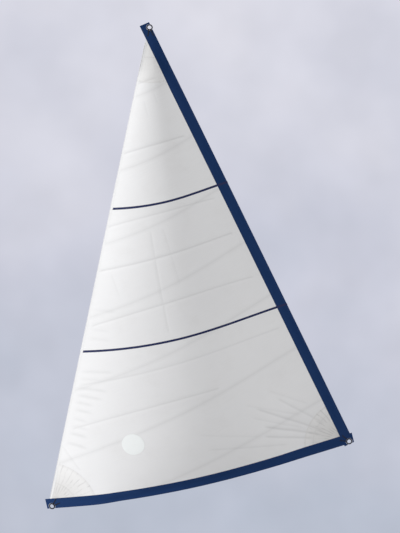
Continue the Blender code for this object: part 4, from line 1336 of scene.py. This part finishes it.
class MakeLines(bpy.types.Operator):
    """The luff bead, the foot line and the leech line, and the cleats' finish"""

    bl_idname = "genoa.make_lines"
    bl_label = "Bead, lines and cleats"

    def execute(self, context):
        luff = HEMS["luff_tape"]
        bead = lifted(luff.line(luff.inset, np.linspace(*luff.ends, BEAD_STEPS)), MID_CLOTH)
        for name, path, diameter in (
            ("luff_bead", bead, BEAD_DIAMETER),
            ("foot_line", hem_line_path(HEMS["foot_tape"]), LINE_DIAMETER),
            ("leech_line", hem_line_path(HEMS["leech_tape"]), LINE_DIAMETER),
        ):
            section = diameter / 2 * bearing(circle(12))
            fit(tube_piece(name + "_cord", carried(path, np.array([0.0, 1.0, 0.0]), section), section), name, "cord")
        for name in ("foot_line_cleat", "leech_line_cleat"):
            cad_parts[name].material_slots[0].material = finish_for("moulding")
        return {"FINISHED"}


class MakeStrips(bpy.types.Operator):
    """Sun strips along the foot and the leech"""

    bl_idname = "genoa.make_strips"
    bl_label = "Sun strips"

    def execute(self, context):
        for name, line, along, back, holes in (
            ("foot_sun_strip", foot_line, FOOT_LENGTH, foot_strip_back, (TACK_CORNER, CLEW_CORNER)),
            ("leech_sun_strip", leech_line, LEECH_LENGTH, leech_strip_back, (HEAD_CORNER, CLEW_CORNER)),
        ):
            plan, uv = strip_grid(line, along)
            made = ply(name + "_cloth", plan, lambda p, back=back: back(p) + CLOTH, back, uv, holes)
            fit_sheet(made, name, "cover_cloth")
        return {"FINISHED"}


class MakeStripes(bpy.types.Operator):
    """Draft stripes on both sides"""

    bl_idname = "genoa.make_stripes"
    bl_label = "Draft stripes"

    def execute(self, context):
        for name, share in STRIPE_HEIGHTS.items():
            for side, after_inset, front, back in (
                ("port", -STRIPE_PROUD, lambda p: stripe_back(p) + CLOTH, stripe_back),
                ("starboard", EDGE_TAPE_WIDTH + TAPE_MARGIN, -GAP, -GAP - CLOTH),
            ):
                plan, uv = stripe_grid(share, after_inset)
                node_name = f"{name}_stripe_{side}"
                made = ply(node_name + "_cloth", plan, front, back, uv)
                fit_sheet(made, node_name, "stripe_cloth")
        return {"FINISHED"}


class MakePatches(bpy.types.Operator):
    """Corner patches, two on each side of each corner, and the insignia disc"""

    bl_idname = "genoa.make_patches"
    bl_label = "Patches and disc"

    def execute(self, context):
        layers = [
            (name, f"{name}_patch_{side}_{k + 1}", radius, 2 + k if side == "port" else -1 - k)
            for name, sides in PATCHES.items()
            for side, radii in sides.items()
            for k, radius in enumerate(radii)
        ]
        for name, node_name, radius, layer in layers:
            corner, at_head = CORNERS[name], name == "head"
            plan, uv = (head_patch_grid if at_head else patch_grid)(corner, radius)
            holes = (corner,) if at_head else ()
            made = ply(node_name + "_cloth", plan, front_of(layer), layer * PITCH, uv, holes, (corner, radius))
            fit_sheet(made, node_name, "patch_cloth")
        plan, uv = disc_grid()
        disc = ply("insignia_disc_cloth", plan, front_of(2), 2 * PITCH, uv)
        fit_sheet(disc, "insignia_disc", "disc_cloth")
        return {"FINISHED"}


class MakeRings(bpy.types.Operator):
    """Turned rings and their webbing straps"""

    bl_idname = "genoa.make_rings"
    bl_label = "Rings and straps"

    def execute(self, context):
        for name, corner in CORNERS.items():
            fit(ring_piece(corner), f"{name}_ring", "ring_metal", f"{name}_ring")
            for side, turn in (("forward", STRAP_SPREAD), ("aft", -STRAP_SPREAD)):
                fit(strap_piece(corner, side, turn), f"{name}_strap_{side}", "webbing")
        return {"FINISHED"}


class MakeStage(bpy.types.Operator):
    """Floor, soft light, cloudy backdrop and camera"""

    bl_idname = "genoa.make_stage"
    bl_label = "Stage"

    def execute(self, context):
        stage = context.scene.genoa_stage
        make_floor(stage)
        make_light(stage)
        make_backdrop(stage)
        make_camera(stage)
        context.scene.view_settings.view_transform = "Standard"
        return {"FINISHED"}


def make_floor(stage):
    """A flat round floor well below the sail, its colour fading out towards its edge."""
    radii = np.linspace(0.05, FLOOR_RADIUS, 24)[:, None]
    x, y = np.moveaxis(radii[..., None] * bearing(circle(96)), -1, 0)
    points = np.stack([x + FLOOR_MIDDLE, y, 0 * x + stage.floor_level], -1).reshape(-1, 3)
    floor = mesh_piece("floor", points, None, grid_faces(*x.shape, around=True))
    made = bpy.data.materials.new("floor_plain")
    made.use_nodes = True
    tree = made.node_tree
    shader = tree.nodes["Principled BSDF"].inputs
    place = wired(tree, "TexCoord", output="Object")
    centring = {"Vector": place, "Location": (-FLOOR_MIDDLE, 0.0, 0.0), "Scale": (1.0, 1.0, 0.0)}
    away = wired(tree, "VectorMath", [wired(tree, "Mapping", centring)], "Value", operation="LENGTH")
    fading = {"Value": away, "From Min": FLOOR_FADE[0], "From Max": FLOOR_FADE[1], "To Min": 1.0, "To Max": 0.0}
    plug(shader["Roughness"], 0.9)
    plug(shader["Base Color"], shaded(stage.floor_color, span(noise(place, 0.6), 0.97, 1.0)))
    plug(shader["Alpha"], wired(tree, "MapRange", fading, interpolation_type="SMOOTHSTEP"))
    floor.data.materials.append(made)


def make_light(stage):
    """A soft key that rakes the cloth from the luff's side, and a softer fill from the leech's."""
    for name in ("key", "fill"):
        lamp = bpy.data.lights.new(name, "SUN")
        lamp.energy, side, up, lamp.angle = (
            getattr(stage, f"{name}_{value}") for value in ("strength", "azimuth", "elevation", "width")
        )
        placed = bpy.data.objects.new(name, lamp)
        placed.rotation_euler = (math.pi / 2 - up, 0.0, side)
        bpy.context.scene.collection.objects.link(placed)


def make_backdrop(stage):
    """A soft cloudy sky for the eye, gloss and glass, and plain even light for all else.

    The sky goes by direction, read as its place in the picture: -1 to 1 from the foot to the top, and as wide.
    """
    world = bpy.data.worlds.new("backdrop")
    bpy.context.scene.world = world
    world.use_nodes = True
    tree = world.node_tree
    tree.nodes.clear()
    way_x, _, way_z = axes_of(wired(tree, "TexCoord", output="Generated"))
    half = SENSOR / 2 / stage.lens
    side = way_x / half
    high = (way_z + math.sin(CAMERA_DROP)) / (half * math.cos(CAMERA_DROP))
    place = wired(tree, "CombineXYZ", [side, high])
    shifted = high + span(noise(place, 1.7, 2.5, 0.45), -0.45, 0.45) - side * stage.sky_tilt
    low = tinted(span(shifted, 0.0, 1.0, -1.1, 0.0), stage.low_color, stage.middle_color)
    sky = tinted(span(shifted, 0.0, 1.0, 0.0, 1.1), low, stage.high_color)
    sky = shaded(sky, span(noise(place, 4.2), 0.965, 1.035))
    even = wired(tree, "Background", {"Color": (1.0, 1.0, 1.0), "Strength": stage.ambient})
    seen = wired(tree, "Background", {"Color": sky, "Strength": 1.0})
    path = node(tree, "LightPath").outputs
    camera, gloss, glass = (Wire(path[f"Is {kind} Ray"]) for kind in ("Camera", "Glossy", "Transmission"))
    eye = (camera + gloss).maths("ADD", glass, clamp=True)
    node(tree, "OutputWorld", {"Surface": wired(tree, "MixShader", [eye, even, seen])})


def make_camera(stage):
    """A long lens square to the sail's plan that looks down on it, the picture's pixels PIXEL metres each."""
    wide, tall = PICTURE
    away = stage.lens / SENSOR * tall * PIXEL
    across = ((wide - 1) / 2 - TACK_PIXEL[0]) * PIXEL
    high = (TACK_PIXEL[1] - (tall - 1) / 2) * PIXEL / math.cos(CAMERA_DROP) + CAMERA_RAISE
    eye = bpy.data.cameras.new("camera")
    eye.lens = stage.lens
    eye.sensor_width = SENSOR
    eye.clip_end = 2 * away
    camera = bpy.data.objects.new("camera", eye)
    camera.location = (across, -away * math.cos(CAMERA_DROP), high + away * math.sin(CAMERA_DROP))
    camera.rotation_euler = (math.pi / 2 - CAMERA_DROP, 0.0, 0.0)
    bpy.context.scene.collection.objects.link(camera)
    bpy.context.scene.camera = camera


OPERATORS = (MakePanels, MakeHems, MakeLines, MakeStrips, MakeStripes, MakePatches, MakeRings, MakeStage)
GROUPS = {"genoa_sizes": GenoaSizes, "genoa_looks": GenoaLooks, "genoa_stage": GenoaStage}


class GenoaPanel(bpy.types.Panel):
    """Lists the genoa's operators in the sidebar"""

    bl_idname = "GENOA_PT_pieces"
    bl_label = "Genoa"
    bl_space_type = "VIEW_3D"
    bl_region_type = "UI"
    bl_category = "Genoa"

    def draw(self, context):
        for operator in OPERATORS:
            self.layout.operator(operator.bl_idname)


def register():
    for kind in (*GROUPS.values(), *OPERATORS, GenoaPanel):
        bpy.utils.register_class(kind)
    for name, group in GROUPS.items():
        setattr(bpy.types.Scene, name, bpy.props.PointerProperty(type=group))


def unregister():
    for name in GROUPS:
        delattr(bpy.types.Scene, name)
    for kind in reversed((*GROUPS.values(), *OPERATORS, GenoaPanel)):
        bpy.utils.unregister_class(kind)


def main():
    register()
    for operator in OPERATORS:
        group, name = operator.bl_idname.split(".")
        getattr(getattr(bpy.ops, group), name)()


if __name__ == "__main__":
    main()
